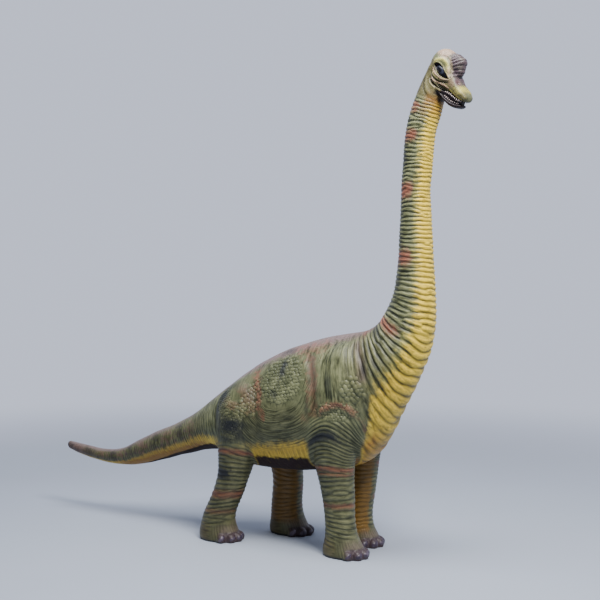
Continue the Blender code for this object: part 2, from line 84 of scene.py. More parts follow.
# Station: back line (x, z), belly line (x, z), half width, how low the widest part sits
trunkStations = {
    "tail tip": ((-1.333, 0.329), (-1.331, 0.289), 0.018, 0.00),
    "tail end": ((-1.238, 0.317), (-1.244, 0.267), 0.024, 0.00),
    "tail dip": ((-1.082, 0.308), (-1.082, 0.245), 0.033, 0.00),
    "tail bend": ((-0.990, 0.329), (-0.968, 0.246), 0.044, 0.00),
    "tail middle": ((-0.872, 0.384), (-0.834, 0.270), 0.060, 0.00),
    "tail swell": ((-0.730, 0.444), (-0.686, 0.312), 0.074, 0.02),
    "tail root": ((-0.600, 0.504), (-0.548, 0.348), 0.094, 0.04),
    "rump": ((-0.480, 0.582), (-0.420, 0.362), 0.132, 0.08),
    "hips": ((-0.350, 0.677), (-0.295, 0.322), 0.170, 0.12),
    "loins": ((-0.200, 0.768), (-0.150, 0.308), 0.192, 0.14),
    "belly": ((-0.040, 0.834), (0.000, 0.312), 0.200, 0.14),
    "withers": ((0.110, 0.875), (0.150, 0.334), 0.196, 0.10),
    "breast": ((0.205, 0.890), (0.303, 0.394), 0.178, 0.06),
    "chest": ((0.268, 0.901), (0.410, 0.568), 0.153, 0.02),
    "neck base": ((0.320, 0.926), (0.497, 0.735), 0.124, 0.00),
    "neck root": ((0.356, 0.975), (0.549, 0.878), 0.104, 0.00),
    "neck low": ((0.388, 1.045), (0.558, 1.005), 0.089, 0.00),
    "neck third": ((0.407, 1.160), (0.551, 1.150), 0.075, 0.00),
    "neck middle": ((0.416, 1.310), (0.542, 1.310), 0.063, 0.00),
    "neck slim": ((0.422, 1.460), (0.537, 1.460), 0.057, 0.00),
    "neck high": ((0.430, 1.588), (0.546, 1.574), 0.057, 0.00),
    "neck top": ((0.442, 1.698), (0.559, 1.680), 0.057, 0.00),
    "nape": ((0.464, 1.779), (0.579, 1.747), 0.056, 0.00),
    "throat": ((0.490, 1.847), (0.593, 1.797), 0.053, 0.00),
    "skull root": ((0.527, 1.925), (0.624, 1.850), 0.043, 0.00),
}

# Muscles: centre (x, y, z) on the left side, radii
muscles = {
    "shoulder": ((0.215, 0.088, 0.665), (0.108, 0.104, 0.190)),
    "haunch": ((-0.252, 0.084, 0.550), (0.118, 0.100, 0.150)),
}

# Height, fore-and-aft radius, side radius
legRadii = {
    "front": (
        (-0.012, 0.090, 0.064), (0.012, 0.094, 0.067), (0.036, 0.087, 0.066), (0.066, 0.073, 0.063),
        (0.105, 0.064, 0.061), (0.160, 0.062, 0.060), (0.225, 0.066, 0.062), (0.340, 0.079, 0.069),
        (0.467, 0.098, 0.080), (0.560, 0.108, 0.086), (0.640, 0.098, 0.078), (0.680, 0.086, 0.066),
    ),
    "hind": (
        (-0.012, 0.094, 0.067), (0.012, 0.098, 0.070), (0.036, 0.091, 0.069), (0.066, 0.079, 0.067),
        (0.105, 0.071, 0.066), (0.170, 0.068, 0.064), (0.260, 0.069, 0.065), (0.347, 0.080, 0.072),
        (0.430, 0.096, 0.082), (0.530, 0.116, 0.088), (0.610, 0.116, 0.080), (0.680, 0.100, 0.066),
    ),
}

# Leg: pair, side (+1 is the animal's left), axis as (height, x, y off the middle)
legs = {
    "frontRight": ("front", -1, (
        (-0.012, 0.221, 0.100), (0.105, 0.199, 0.100), (0.225, 0.188, 0.100), (0.340, 0.176, 0.104),
        (0.467, 0.178, 0.111), (0.560, 0.191, 0.112), (0.680, 0.205, 0.094))),
    "frontLeft": ("front", 1, (
        (-0.012, 0.194, 0.100), (0.105, 0.174, 0.100), (0.225, 0.184, 0.100), (0.340, 0.184, 0.104),
        (0.467, 0.186, 0.111), (0.560, 0.194, 0.112), (0.680, 0.205, 0.094))),
    "hindRight": ("hind", -1, (
        (-0.012, -0.365, 0.122), (0.105, -0.378, 0.120), (0.170, -0.349, 0.120), (0.260, -0.312, 0.120),
        (0.347, -0.290, 0.118), (0.430, -0.281, 0.116), (0.530, -0.270, 0.112), (0.680, -0.258, 0.088))),
    "hindLeft": ("hind", 1, (
        (-0.012, -0.160, 0.122), (0.105, -0.184, 0.120), (0.170, -0.182, 0.120), (0.260, -0.180, 0.120),
        (0.347, -0.205, 0.118), (0.430, -0.240, 0.116), (0.530, -0.258, 0.112), (0.680, -0.258, 0.088))),
}
legTop = 0.680
legEnds = {"front": 0.565, "hind": 0.415}     # height where the leg's own folds end

toe = {
    "count": 5,
    "spread": math.radians(62),
    "radii": (0.026, 0.0215, 0.025),
    "inset": (0.015, 0.009),
    "height": 0.013,
}

# The head's own frame: u forward, v to the left, w up, from the jaw hinge
head = {
    "place": (0.5702, 0.0, 1.8775),
    "pitch": math.radians(40),
    "turn": math.radians(15),
    "cutStation": 21.35,      # where its skin takes over from the neck's
    "above": 1.70,            # height from which its own forms and paint start
}
headForms = {
    "skull": ((-0.012, 0.000, 0.068), (0.062, 0.045, 0.060)),
    "nasal arch": ((0.033, 0.000, 0.094), (0.046, 0.033, 0.042)),
    "arch front": ((0.051, 0.000, 0.109), (0.024, 0.027, 0.027)),
    "arch foot": ((0.066, 0.000, 0.082), (0.020, 0.022, 0.028)),
    "forehead": ((0.012, 0.000, 0.083), (0.050, 0.037, 0.034)),
    "nape": ((-0.028, 0.000, 0.032), (0.038, 0.042, 0.046)),
    "cheeks": ((0.002, 0.000, 0.022), (0.058, 0.047, 0.032)),
    "right orbit": ((0.020, -0.022, 0.052), (0.054, 0.0215, 0.034)),
    "left orbit": ((0.020, 0.022, 0.052), (0.054, 0.0215, 0.034)),
}
# u, top, bottom, half width
snoutStations = (
    (0.010, 0.080, -0.003, 0.044), (0.050, 0.077, -0.004, 0.044), (0.080, 0.069, 0.001, 0.042),
    (0.100, 0.058, 0.005, 0.040), (0.120, 0.051, 0.006, 0.040), (0.145, 0.045, 0.006, 0.038),
    (0.162, 0.038, 0.009, 0.029), (0.172, 0.030, 0.013, 0.017), (0.175, 0.025, 0.016, 0.008),
)
jawStations = (
    (-0.010, -0.010, -0.023, 0.028), (0.015, -0.009, -0.026, 0.040), (0.055, -0.012, -0.025, 0.040),
    (0.085, -0.016, -0.031, 0.038), (0.110, -0.017, -0.036, 0.036), (0.135, -0.014, -0.034, 0.033),
    (0.153, -0.009, -0.027, 0.027), (0.164, -0.004, -0.018, 0.018), (0.170, -0.004, -0.011, 0.008),
)
# dark gums that fill the mouth behind the teeth
gumStations = (
    (-0.004, 0.006, -0.020, 0.036), (0.030, 0.004, -0.021, 0.0425), (0.062, 0.006, -0.021, 0.0405),
    (0.085, 0.009, -0.024, 0.0340), (0.110, 0.011, -0.026, 0.0310), (0.132, 0.011, -0.026, 0.0275),
    (0.150, 0.011, -0.022, 0.019), (0.158, 0.011, -0.016, 0.009),
)
eye = {
    "place": (0.021, 0.0272, 0.051),
    "radii": (0.040, 0.021, 0.019),
    "slope": math.radians(10),
}


def splineThrough(knots, values, at):
    # natural cubic spline
    knots = np.asarray(knots, float)
    values = np.asarray(values, float).reshape(len(knots), -1)
    step = np.diff(knots)
    slope = np.diff(values, axis=0) / step[:, None]
    count = len(knots)
    system = np.eye(count)
    right = np.zeros_like(values)
    for i in range(1, count - 1):
        system[i, i - 1:i + 2] = step[i - 1], 2 * (step[i - 1] + step[i]), step[i]
        right[i] = 6 * (slope[i] - slope[i - 1])
    bend = np.linalg.solve(system, right)
    at = np.clip(np.asarray(at, float), knots[0], knots[-1])
    i = np.clip(np.searchsorted(knots, at, side="right") - 1, 0, count - 2)
    a = at - knots[i]
    h = step[i]
    first = slope[i] - h[:, None] * (2 * bend[i] + bend[i + 1]) / 6
    return (values[i] + first * a[:, None] + bend[i] * a[:, None] ** 2 / 2
            + (bend[i + 1] - bend[i]) * a[:, None] ** 3 / (6 * h[:, None]))


def splineRows(rows, at):
    # each row is a place and the values there
    return splineThrough([row[0] for row in rows], [row[1:] for row in rows], at)


def smoothStep(low, high, value):
    t = np.clip((value - low) / (high - low), 0.0, 1.0)
    return t * t * (3 - 2 * t)


def between(value, start, full, fall, end):
    # 1 from full to fall, and 0 before start and past end
    return smoothStep(start, full, value) * smoothStep(end, fall, value)


def bell(value, middle, width):
    return np.exp(-((value - middle) / width) ** 2)


def most(*layers):
    return np.maximum.reduce(layers)


def gradientNoise(points, seed):
    rng = np.random.default_rng(seed)
    table = rng.permutation(256)
    gradients = rng.normal(size=(256, 3))
    gradients /= np.linalg.norm(gradients, axis=1)[:, None]
    base = np.floor(points).astype(np.int64)
    part = points - base
    fade = part ** 3 * (part * (part * 6 - 15) + 10)
    total = np.zeros(len(points))
    for dx in (0, 1):
        for dy in (0, 1):
            for dz in (0, 1):
                spot = table[(base[:, 0] + dx) & 255]
                spot = table[(spot + base[:, 1] + dy) & 255]
                spot = table[(spot + base[:, 2] + dz) & 255]
                dot = (gradients[spot] * (part - (dx, dy, dz))).sum(axis=1)
                share = (fade[:, 0] if dx else 1 - fade[:, 0])
                share = share * (fade[:, 1] if dy else 1 - fade[:, 1])
                share = share * (fade[:, 2] if dz else 1 - fade[:, 2])
                total += dot * share
    return total * 1.6


# The trunk's table

stationCount = len(trunkStations)
trunkRows = [(*back, *belly, width, low) for back, belly, width, low in trunkStations.values()]
trunkMiddles = np.array([((b[0] + v[0]) / 2, (b[1] + v[1]) / 2) for b, v, _, _ in trunkStations.values()])
trunkKnots = np.concatenate([[0], np.cumsum(np.linalg.norm(np.diff(trunkMiddles, axis=0), axis=1))])


def trunkAt(stations):
    places = np.interp(stations, np.arange(stationCount), trunkKnots)
    found = splineThrough(trunkKnots, trunkRows, places)
    found[:, [0, 2]] += statue["forward"]
    return {
        "middle": (found[:, 0:2] + found[:, 2:4]) / 2,
        "up": (found[:, 0:2] - found[:, 2:4]) / 2,
        "width": found[:, 4],
        "low": found[:, 5],
        "along": places,
    }


def loftGrid(rings):
    # rings of equal count, closed by a middle point at each end
    rings = np.asarray(rings)
    count, sides = rings.shape[:2]
    points = np.concatenate([rings.reshape(-1, 3), rings[:1].mean(axis=1), rings[-1:].mean(axis=1)])
    faces = []
    for i in range(count - 1):
        for k in range(sides):
            n = (k + 1) % sides
            faces.append((i * sides + k, i * sides + n, (i + 1) * sides + n, (i + 1) * sides + k))
    last = (count - 1) * sides
    for k in range(sides):
        n = (k + 1) % sides
        faces.append((n, k, count * sides))
        faces.append((last + k, last + n, count * sides + 1))
    return points, faces


def eggGrid(centre, radii, turn=0.0, segments=40, rows=26):
    rings = []
    for i in range(1, rows):
        a = math.pi * i / rows
        b = np.linspace(0, 2 * math.pi, segments, endpoint=False)
        level = np.full(segments, -math.cos(a))
        rings.append(np.stack([np.sin(a) * np.cos(b), np.sin(a) * np.sin(b), level], axis=1))
    points, faces = loftGrid(rings)
    points[-2:] = (0, 0, -1), (0, 0, 1)
    points = points * radii
    cos, sin = math.cos(turn), math.sin(turn)
    points = points @ np.array([[cos, sin, 0], [-sin, cos, 0], [0, 0, 1]])
    return points + centre, faces


def trunkForm(first, last):
    stations = np.arange(first, last + 1e-6, statue["ringStep"])
    table = trunkAt(stations)
    a = np.linspace(0, 2 * math.pi, statue["trunkSides"], endpoint=False)
    rise = np.cos(a)[None, :]
    side = np.sin(a)[None, :] * table["width"][:, None] * (1 - table["low"][:, None] * rise)
    x = table["middle"][:, :1] + table["up"][:, :1] * rise
    z = table["middle"][:, 1:] + table["up"][:, 1:] * rise
    rings = np.stack([x, side + statue["side"], z], axis=2)
    if first == 0:
        centre = rings[0].mean(axis=0)
        out = centre - rings[1].mean(axis=0)
        out /= np.linalg.norm(out)
        radius = np.linalg.norm(rings[0][0] - centre)
        cap = []
        for turn in (84, 72, 58, 44, 30, 15):
            t = math.radians(turn)
            cap.append(centre + (rings[0] - centre) * math.cos(t) + out * radius * math.sin(t))
        rings = np.concatenate([cap, rings])
    return loftGrid(rings)


def legTable(leg, heights):
    pair, side, axis = legs[leg]
    size = splineRows(legRadii[pair], heights)
    place = splineRows(axis, heights)
    return place[:, 0] + statue["forward"], place[:, 1] * side + statue["side"], size[:, 0], size[:, 1]


def legForm(leg):
    nearTop = legTop - np.array([0.03, 0.02, 0.012, 0.006, 0.002])
    heights = np.concatenate([np.linspace(0.0, 0.64, 90), nearTop])
    x, y, fore, wide = legTable(leg, heights)
    below = np.clip((legTop - heights) / statue["legClose"], 0, 1)
    close = np.sqrt(np.clip(1 - (1 - below) ** 2, 0, 1))
    a = np.linspace(0, 2 * math.pi, statue["legSides"], endpoint=False)
    rings = np.stack([
        x[:, None] + (fore * close)[:, None] * np.cos(a),
        y[:, None] + (wide * close)[:, None] * np.sin(a),
        np.repeat(heights[:, None], len(a), axis=1),
    ], axis=2)
    return loftGrid(rings)


def toePlaces(leg):
    # middle and turn of each toe, along the front rim of the foot
    x, y, _, _ = [float(c[0]) for c in legTable(leg, [toe["height"]])]
    fore, wide = legRadii[legs[leg][0]][1][1:]
    places = []
    for k in range(toe["count"]):
        a = toe["spread"] * (2 * k / (toe["count"] - 1) - 1)
        ahead = (fore - toe["inset"][0]) * math.cos(a)
        aside = (wide - toe["inset"][1]) * math.sin(a)
        places.append((Vector((x + ahead, y + aside, toe["height"])), a * 0.8))
    return places


def headMatrix():
    turn = Matrix.Rotation(-head["turn"], 4, "Z") @ Matrix.Rotation(head["pitch"], 4, "Y")
    shift = Vector((statue["forward"], statue["side"], 0))
    return Matrix.Translation(Vector(head["place"]) + shift) @ turn


toHead = np.array(headMatrix().inverted())
fromHead = np.array(headMatrix())


def moved(points, matrix):
    return points @ matrix[:3, :3].T + matrix[:3, 3]


def snoutForm(stations):
    # a form along u, its sections with full corners
    first, last = stations[0][0], stations[-1][0]
    fine = first + (last - first) * np.sin(np.linspace(0, math.pi / 2, 60)) ** 0.9
    sizes = splineRows(stations, fine)
    a = np.linspace(0, 2 * math.pi, 64, endpoint=False)
    rise = np.sign(np.cos(a)) * np.abs(np.cos(a)) ** 0.8
    side = np.sign(np.sin(a)) * np.abs(np.sin(a)) ** 0.8
    rings = []
    for u, (top, bottom, half) in zip(fine, sizes):
        level = (top + bottom) / 2 + rise * (top - bottom) / 2
        rings.append(np.stack([np.full(len(a), u), side * half, level], axis=1))
    return loftGrid(rings)


def bodyForms():
    forms = [trunkForm(*statue["bodyStations"])]
    for centre, radii in muscles.values():
        for side in (-1, 1):
            x, y, z = centre
            middle = (x + statue["forward"], side * y + statue["side"], z)
            forms.append(eggGrid(middle, radii, 0, *statue["eggSides"]))
    for leg in legs:
        forms.append(legForm(leg))
        for place, turn in toePlaces(leg):
            forms.append(eggGrid(tuple(place), toe["radii"], turn))
    return forms


def skullForms():
    forms = [trunkForm(*statue["headStations"])]
    made = [eggGrid(centre, radii, 0, *statue["eggSides"]) for centre, radii in headForms.values()]
    made += [snoutForm(snoutStations), snoutForm(jawStations), snoutForm(gumStations)]
    forms += [(moved(points, fromHead), faces) for points, faces in made]
    return forms


def meshOf(name, points, faces):
    mesh = bpy.data.meshes.new(name)
    mesh.from_pydata(np.asarray(points).tolist(), [], faces)
    mesh.update()
    return mesh


def addObject(name, mesh):
    obj = bpy.data.objects.new(name, mesh)
    bpy.context.scene.collection.objects.link(obj)
    return obj


def oneSkin(name, forms, grid):
    # all forms as one closed surface of even squares
    points, faces, base = [], [], 0
    for part, partFaces in forms:
        points.append(part)
        faces += [tuple(i + base for i in f) for f in partFaces]
        base += len(part)
    obj = addObject(name, meshOf(name, np.concatenate(points), faces))
    bm = bmesh.new()
    bm.from_mesh(obj.data)
    bmesh.ops.recalc_face_normals(bm, faces=bm.faces[:])
    bm.to_mesh(obj.data)
    bm.free()
    remesh = obj.modifiers.new("remesh", "REMESH")
    remesh.mode = "VOXEL"
    remesh.voxel_size = grid
    graph = bpy.context.evaluated_depsgraph_get()
    mesh = bpy.data.meshes.new_from_object(obj.evaluated_get(graph))
    bpy.data.objects.remove(obj)
    return skinArrays(mesh)


def skinArrays(mesh):
    points = np.zeros(len(mesh.vertices) * 3)
    mesh.vertices.foreach_get("co", points)
    edges = np.zeros(len(mesh.edges) * 2, np.int64)
    mesh.edges.foreach_get("vertices", edges)
    starts = np.zeros(len(mesh.polygons), np.int64)
    mesh.polygons.foreach_get("loop_start", starts)
    totals = np.zeros(len(mesh.polygons), np.int64)
    mesh.polygons.foreach_get("loop_total", totals)
    loops = np.zeros(len(mesh.loops), np.int64)
    mesh.loops.foreach_get("vertex_index", loops)
    quads = loops[starts[totals == 4][:, None] + np.arange(4)]
    bpy.data.meshes.remove(mesh)
    return {"points": points.reshape(-1, 3), "edges": edges.reshape(-1, 2), "quads": quads}


def relax(skin, rounds, weight, back=0.51):
    # evens the surface out where weight says; the step back keeps its size
    points, edges = skin["points"], skin["edges"]
    count = len(points)
    degree = np.bincount(edges.ravel(), minlength=count).clip(1)
    for i in range(rounds * 2):
        pull = 0.5 if i % 2 == 0 else -back
        mean = np.empty_like(points)
        for axis in range(3):
            total = np.bincount(edges[:, 0], points[edges[:, 1], axis], count)
            total += np.bincount(edges[:, 1], points[edges[:, 0], axis], count)
            mean[:, axis] = total / degree
        points += (mean - points) * (pull * weight)[:, None]


def melt(skin, weight, rounds):
    # sinks the forms into each other there, like warm wax
    chosen = weight > 0.002
    renumber = np.cumsum(chosen) - 1
    inside = chosen[skin["edges"]].all(axis=1)
    part = {"points": skin["points"][chosen], "edges": renumber[skin["edges"][inside]]}
    relax(part, rounds, weight[chosen], -0.5)
    skin["points"][chosen] = part["points"]


def pointNormals(skin):
    points, quads = skin["points"], skin["quads"]
    across = np.cross(points[quads[:, 2]] - points[quads[:, 0]], points[quads[:, 3]] - points[quads[:, 1]])
    normals = np.zeros_like(points)
    for axis in range(3):
        for corner in range(4):
            normals[:, axis] += np.bincount(quads[:, corner], across[:, axis], len(points))
    return normals / np.linalg.norm(normals, axis=1).clip(1e-12)[:, None]


# Where a point is on the body: station and angle on the trunk, height and turn on a leg

fineStations = np.linspace(0, 24, 961)
fineTrunk = trunkAt(fineStations)
fineHeights = np.linspace(0, legTop, 200)
fineLegs = {leg: legTable(leg, fineHeights) for leg in legs}


def trunkPlaces(points):
    middle, up = fineTrunk["middle"], fineTrunk["up"]
    ahead = np.stack([up[:, 1], -up[:, 0]], axis=1)
    ahead /= np.linalg.norm(ahead, axis=1)[:, None]
    flat = points[:, [0, 2]]
    coarse = middle[::8]
    station = np.zeros(len(points))
    for start in range(0, len(points), 20000):
        part = flat[start:start + 20000]
        far = ((part[:, None, :] - coarse[None]) ** 2).sum(axis=2)
        station[start:start + 20000] = fineStations[::8][far.argmin(axis=1)]

    def readOff(at, *columns):
        return [np.interp(at, fineStations, column) for column in columns]

    def offPlane(at):
        mx, mz, nx, nz = readOff(at, *middle.T, *ahead.T)
        return (flat[:, 0] - mx) * nx + (flat[:, 1] - mz) * nz

    for _ in range(10):
        off = offPlane(station)
        slope = (offPlane(station + 0.02) - off) / 0.02
        slope = np.minimum(slope, -0.03)
        station = np.clip(station - np.clip(off / slope, -0.4, 0.4) * 0.8, 0, 24)
    mx, mz, ux, uz = readOff(station, *middle.T, *up.T)
    rise = ((flat[:, 0] - mx) * ux + (flat[:, 1] - mz) * uz) / (ux ** 2 + uz ** 2)
    width, along = readOff(station, fineTrunk["width"], fineTrunk["along"])
    side = (points[:, 1] - statue["side"]) / width
    reach = np.hypot(rise, side).clip(1e-6)
    return {
        "station": station,
        "angle": np.degrees(np.arctan2(np.abs(side), rise)),
        "along": along,
        "rise": rise / reach,
        "side": side / reach,
    }


def legPlaces(points):
    found = {}
    z = points[:, 2]
    for leg, table in fineLegs.items():
        x, y, fore, wide = [np.interp(z, fineHeights, column) for column in table]
        dx = (points[:, 0] - x) / fore
        dy = (points[:, 1] - y) / wide
        reach = np.hypot(dx, dy)
        top = legEnds[legs[leg][0]]
        share = smoothStep(1.42, 1.12, reach) * smoothStep(top + 0.035, top - 0.035, z)
        found[leg] = {"share": share, "dx": dx, "dy": dy * legs[leg][1], "reach": reach}
    return found


def bodyPlaces(points):
    trunk = trunkPlaces(points)
    return {
        "points": points,
        "trunk": trunk,
        "legs": legPlaces(points),
        "uvw": moved(points, toHead),
        "onHead": smoothStep(22.35, 23.05, trunk["station"]) * (points[:, 2] > 1.6),
        "lift": 0.0,
    }


# Folds of the skin

folds = {
    # along the trunk in metres, spacing of the folds there
    "spacing": (
        (0.00, 0.010), (0.40, 0.012), (0.92, 0.013), (1.25, 0.019), (1.48, 0.024), (1.62, 0.032),
        (1.80, 0.033), (1.93, 0.026), (2.06, 0.0205), (2.30, 0.0180), (2.60, 0.0165), (2.90, 0.0150)),
    # and their depth
    "depth": (
        (0.00, 0.0004), (0.15, 0.0010), (0.60, 0.0014), (0.95, 0.0016), (1.15, 0.0016), (1.42, 0.0026),
        (1.54, 0.0040), (1.70, 0.0074), (1.86, 0.0070), (2.02, 0.0054), (2.25, 0.0045), (2.75, 0.0040),
        (2.90, 0.0034)),
    # how dark the creases are, a dark paint wash and painted shade in one (also in the belly's, legs' and
    # feet's washes below), and how far the paint is rubbed off the ridges
    "wash": (
        (0.00, 0.24), (0.60, 0.30), (1.20, 0.26), (1.46, 0.34), (1.66, 0.60), (1.95, 0.70), (2.90, 0.84)),
    "rub": (
        (0.00, 0.40), (0.60, 0.50), (1.20, 0.36), (1.46, 0.44), (1.70, 0.75), (1.95, 1.00), (2.90, 1.15)),
    "grainUnit": 0.017,
    # arcs round the belly and flank
    "bellyCentre": (0.274, 0.693),
    "bellySpacing": 0.0098,
    "bellyDepth": 0.0018,
    "bellyWashAndShade": 0.34,
    "bellyRub": 0.42,
    # rings of the legs, and the feet's wrinkles
    "legSpacing": 0.0185,
    "legDepth": 0.0044,
    "legWashAndShade": 0.34,
    "legRub": 0.50,
    "toeWrinkles": 6.5,       # to a radian
    "footDepth": 0.0016,
    "footWashAndShade": 0.28,
    "footRub": 0.30,
    "arch": {"front": 0.075, "hind": 0.05},   # how far a leg's rings bow up
}
headGrainUnit = 0.009
spacingKnots = np.linspace(0, trunkKnots[-1], 800)
spacingThere = np.interp(spacingKnots, *zip(*folds["spacing"]))
foldCount = np.concatenate([[0], np.cumsum(np.diff(spacingKnots) / spacingThere[1:])])


def rolls(phase, flow, seed, fork=1.0):
    # rounded rolls between sharp creases; three spacings run into each other and make forks
    east = np.zeros(len(phase))
    north = np.zeros(len(phase))
    for i, (pace, weight) in enumerate(((1.0, 0.80), (1.13, 0.42 * fork), (0.88, 0.42 * fork))):
        warp = 0.40 * gradientNoise(flow * 0.8 + 3.1 * i, seed + i)
        share = np.clip(weight + 0.95 * gradientNoise(flow * 0.75 + 7.7 * i, seed + 3 + i), 0.02, None)
        turn = 2 * math.pi * (phase * pace + warp)
        east += share * np.cos(turn)
        north += share * np.sin(turn)
    firm = np.hypot(east, north)
    firm = firm / (firm + 0.15)
    part = np.arctan2(north, east) / (2 * math.pi)
    ridge = np.cos(math.pi * part).clip(0) ** 0.75
    crease = np.exp(-((0.5 - np.abs(part)) / 0.16) ** 2) * firm
    return (ridge - 0.62) * firm, crease


def ringLevel(leg, there, z):
    # a height that bows up over the top of the leg, as its rings do
    arch = smoothStep(0.30, 0.54, z) * folds["arch"][legs[leg][0]]
    return z + arch * np.clip(there["dx"], -1.3, 1.3) ** 2


def rollsWhere(here, phase, flow, seed, fork=1.0):
    # the same, worked out only where it's wanted
    height = np.zeros(len(phase))
    crease = np.zeros(len(phase))
    height[here], crease[here] = rolls(phase[here], flow[here], seed, fork)
    return height, crease


def arcFolds(place):
    # round the belly and flank the folds sweep in arcs, from groin to armpit
    x, y, z = place["points"].T
    cx, cz = folds["bellyCentre"]
    far = np.hypot((x - cx), (z - cz) * 0.94)
    turn = np.arctan2(x - cx, cz - z)
    share = between(place["trunk"]["station"], 8.2, 8.8, 10.95, 11.35)
    share *= smoothStep(0.085, 0.120, far) * between(place["trunk"]["angle"], 26, 52, 118, 128)
    share *= smoothStep(0.10, 0.0, z - cz)
    arcs = far / folds["bellySpacing"] + 0.6 * np.sin(turn * 2.3) + 0.5 * np.sin(turn * 5.1 + 1)
    flow = np.stack([arcs * 0.42, turn * 2.4, np.sign(y) * 3.0], axis=1)
    height, crease = rollsWhere(share > 0, arcs, flow, 23, 1.3)
    grain = np.stack([arcs, turn * 9, y / folds["grainUnit"]], axis=1)
    return share, height, crease, grain


def legFolds(leg, there, z, seed):
    # rings round a leg, arched over its top, and the toes' wrinkles lengthwise
    dx, dy, here = there["dx"], there["dy"], there["share"] > 0
    level = ringLevel(leg, there, z) + 0.010 * np.sin(z * 17 + seed) * dx
    phase = level / folds["legSpacing"] * (1 + 0.12 * smoothStep(0.3, 0.1, z))
    ringFlow = np.stack([phase * 0.32, dx * 1.2, dy * 1.2 + 7 * seed], axis=1)
    ringHeight, ringCrease = rollsWhere(here, phase, ringFlow, 41 + 7 * seed, 1.2)
    small, smallCrease = rollsWhere(here, phase * 2.2, ringFlow * 1.8, 81 + 7 * seed)
    ringHeight += small * 0.22
    ringCrease = np.maximum(ringCrease, smallCrease * 0.35)
    onFoot = smoothStep(0.078, 0.046, z - 0.012 * dx) * smoothStep(-0.2, 0.3, dx)
    spread = np.arctan2(dy, dx) * folds["toeWrinkles"]
    footFlow = np.stack([spread * 0.4, z * 22, np.full(len(z), 3.0 * seed)], axis=1)
    footHeight, footCrease = rollsWhere(here & (onFoot > 0), spread, footFlow, 141 + 7 * seed, 1.2)
    fade = smoothStep(0.022, 0.090, z - 0.02 * dx) * (1 - onFoot)
    ringDepth = folds["legDepth"] * (0.75 + 0.5 * smoothStep(0.35, 0.5, z)) * fade
    footDepth = folds["footDepth"] * onFoot * smoothStep(0.03, 0.06, z)
    height = ringHeight * ringDepth + footHeight * footDepth
    # painted shade and a dark wash in the rings' and the toes' creases
    crease = ringCrease * fade * folds["legWashAndShade"] + footCrease * onFoot * folds["footWashAndShade"]
    lift = ringHeight * fade * folds["legRub"] + footHeight * onFoot * folds["footRub"]
    grain = np.stack([phase, dx * 4.4, dy * 4.0], axis=1)
    footGrain = np.stack([spread * 1.4, z / folds["grainUnit"], np.zeros(len(z))], axis=1)
    grain[onFoot > 0.5] = footGrain[onFoot > 0.5]
    return height, crease, lift, grain, onFoot


def foldRelief(place):
    # height of the folds in metres, how deep in a crease and how high on a ridge a point is, and the
    # grain: where it lies along and across the folds, in folds, with how far the grain holds there
    trunk, points, onHead = place["trunk"], place["points"], place["onHead"]
    along, angle, station = trunk["along"], trunk["angle"], trunk["station"]
    x, y, z = points.T
    count = np.interp(along, spacingKnots, foldCount)
    depth, wash, rub = [np.interp(along, *zip(*folds[name])) for name in ("depth", "wash", "rub")]
    reach = np.interp(station, fineStations, np.linalg.norm(fineTrunk["up"], axis=1))
    unit = folds["grainUnit"]
    grain = np.stack([count, trunk["rise"] * reach / unit, y / unit], axis=1)
    flow = np.stack([count * 0.30, trunk["rise"] * 1.5, trunk["side"] * 1.5], axis=1)
    height, crease = rolls(count, flow, 11)
    small, smallCrease = rolls(count * 2.1, flow * 1.9, 31)
    onFlank = between(station, 7.0, 8.0, 12.2, 13.0)
    height = height * (1 - 0.35 * onFlank) + small * (0.22 + 0.34 * onFlank)
    crease = np.maximum(crease, smallCrease * (0.35 + 0.35 * onFlank))

    # flatter on the back and the shoulders, and in patches on the flanks
    onTop = smoothStep(44, 18, angle) * smoothStep(13.6, 12.2, station)
    depth = depth * (1 - 0.6 * onTop)
    onShoulder = between(x, 0.42, 0.47, 0.60, 0.64) * (station < 13.2)
    depth = depth * (1 - 0.45 * onShoulder)
    patchy = 1 - onFlank * (0.45 - 1.2 * gradientNoise(points * 14, 57)).clip(0, 0.80)

    onArc, arcHeight, arcCrease, arcGrain = arcFolds(place)
    lift = (height * rub * (1 - onArc) + arcHeight * folds["bellyRub"] * onArc) * patchy
    height = (height * depth * (1 - onArc) + arcHeight * folds["bellyDepth"] * onArc) * patchy
    # painted shade and a dark wash in the creases, weaker in the flank's patches
    crease = (crease * wash * (1 - onArc) + arcCrease * folds["bellyWashAndShade"] * onArc) * (0.4 + 0.6 * patchy)
    best = 1 - onArc
    take = onArc > best
    grain[take] = arcGrain[take]
    best = np.maximum(best, onArc)

    legTotal = np.zeros(len(x))
    for seed, (leg, there) in enumerate(place["legs"].items()):
        share = there["share"]
        legHeight, legCrease, legLift, legGrain, onFoot = legFolds(leg, there, z, seed)
        height = height * (1 - share) + legHeight * share
        crease = crease * (1 - share) + legCrease * share
        lift = lift * (1 - share) + legLift * share
        take = share > 0.5
        grain[take] = legGrain[take]
        best[take] *= np.abs(onFoot - 0.5)[take] * 2
        legTotal = np.maximum(legTotal, share)
    firm = np.clip(best * 2 - 1, 0, 1) * np.clip(np.abs(legTotal - 0.5) * 2.6, 0, 1)
    grain[onHead > 0.5] = (place["uvw"] / headGrainUnit)[onHead > 0.5]
    firm *= np.clip(np.abs(onHead - 0.5) * 2, 0, 1)
    return height * (1 - onHead), crease * (1 - onHead), lift * (1 - onHead), grain, firm


# Where the limbs' tops sink into the body: centre (x, z), reach, rounds
softPlaces = {
    "haunch": ((0.066, 0.668), (0.165, 0.110), 190),
    "shoulder": ((0.535, 0.800), (0.120, 0.085), 80),
}
# and the head's forms into each other: rounds
softHead = {"crest": 20, "nape": 60}


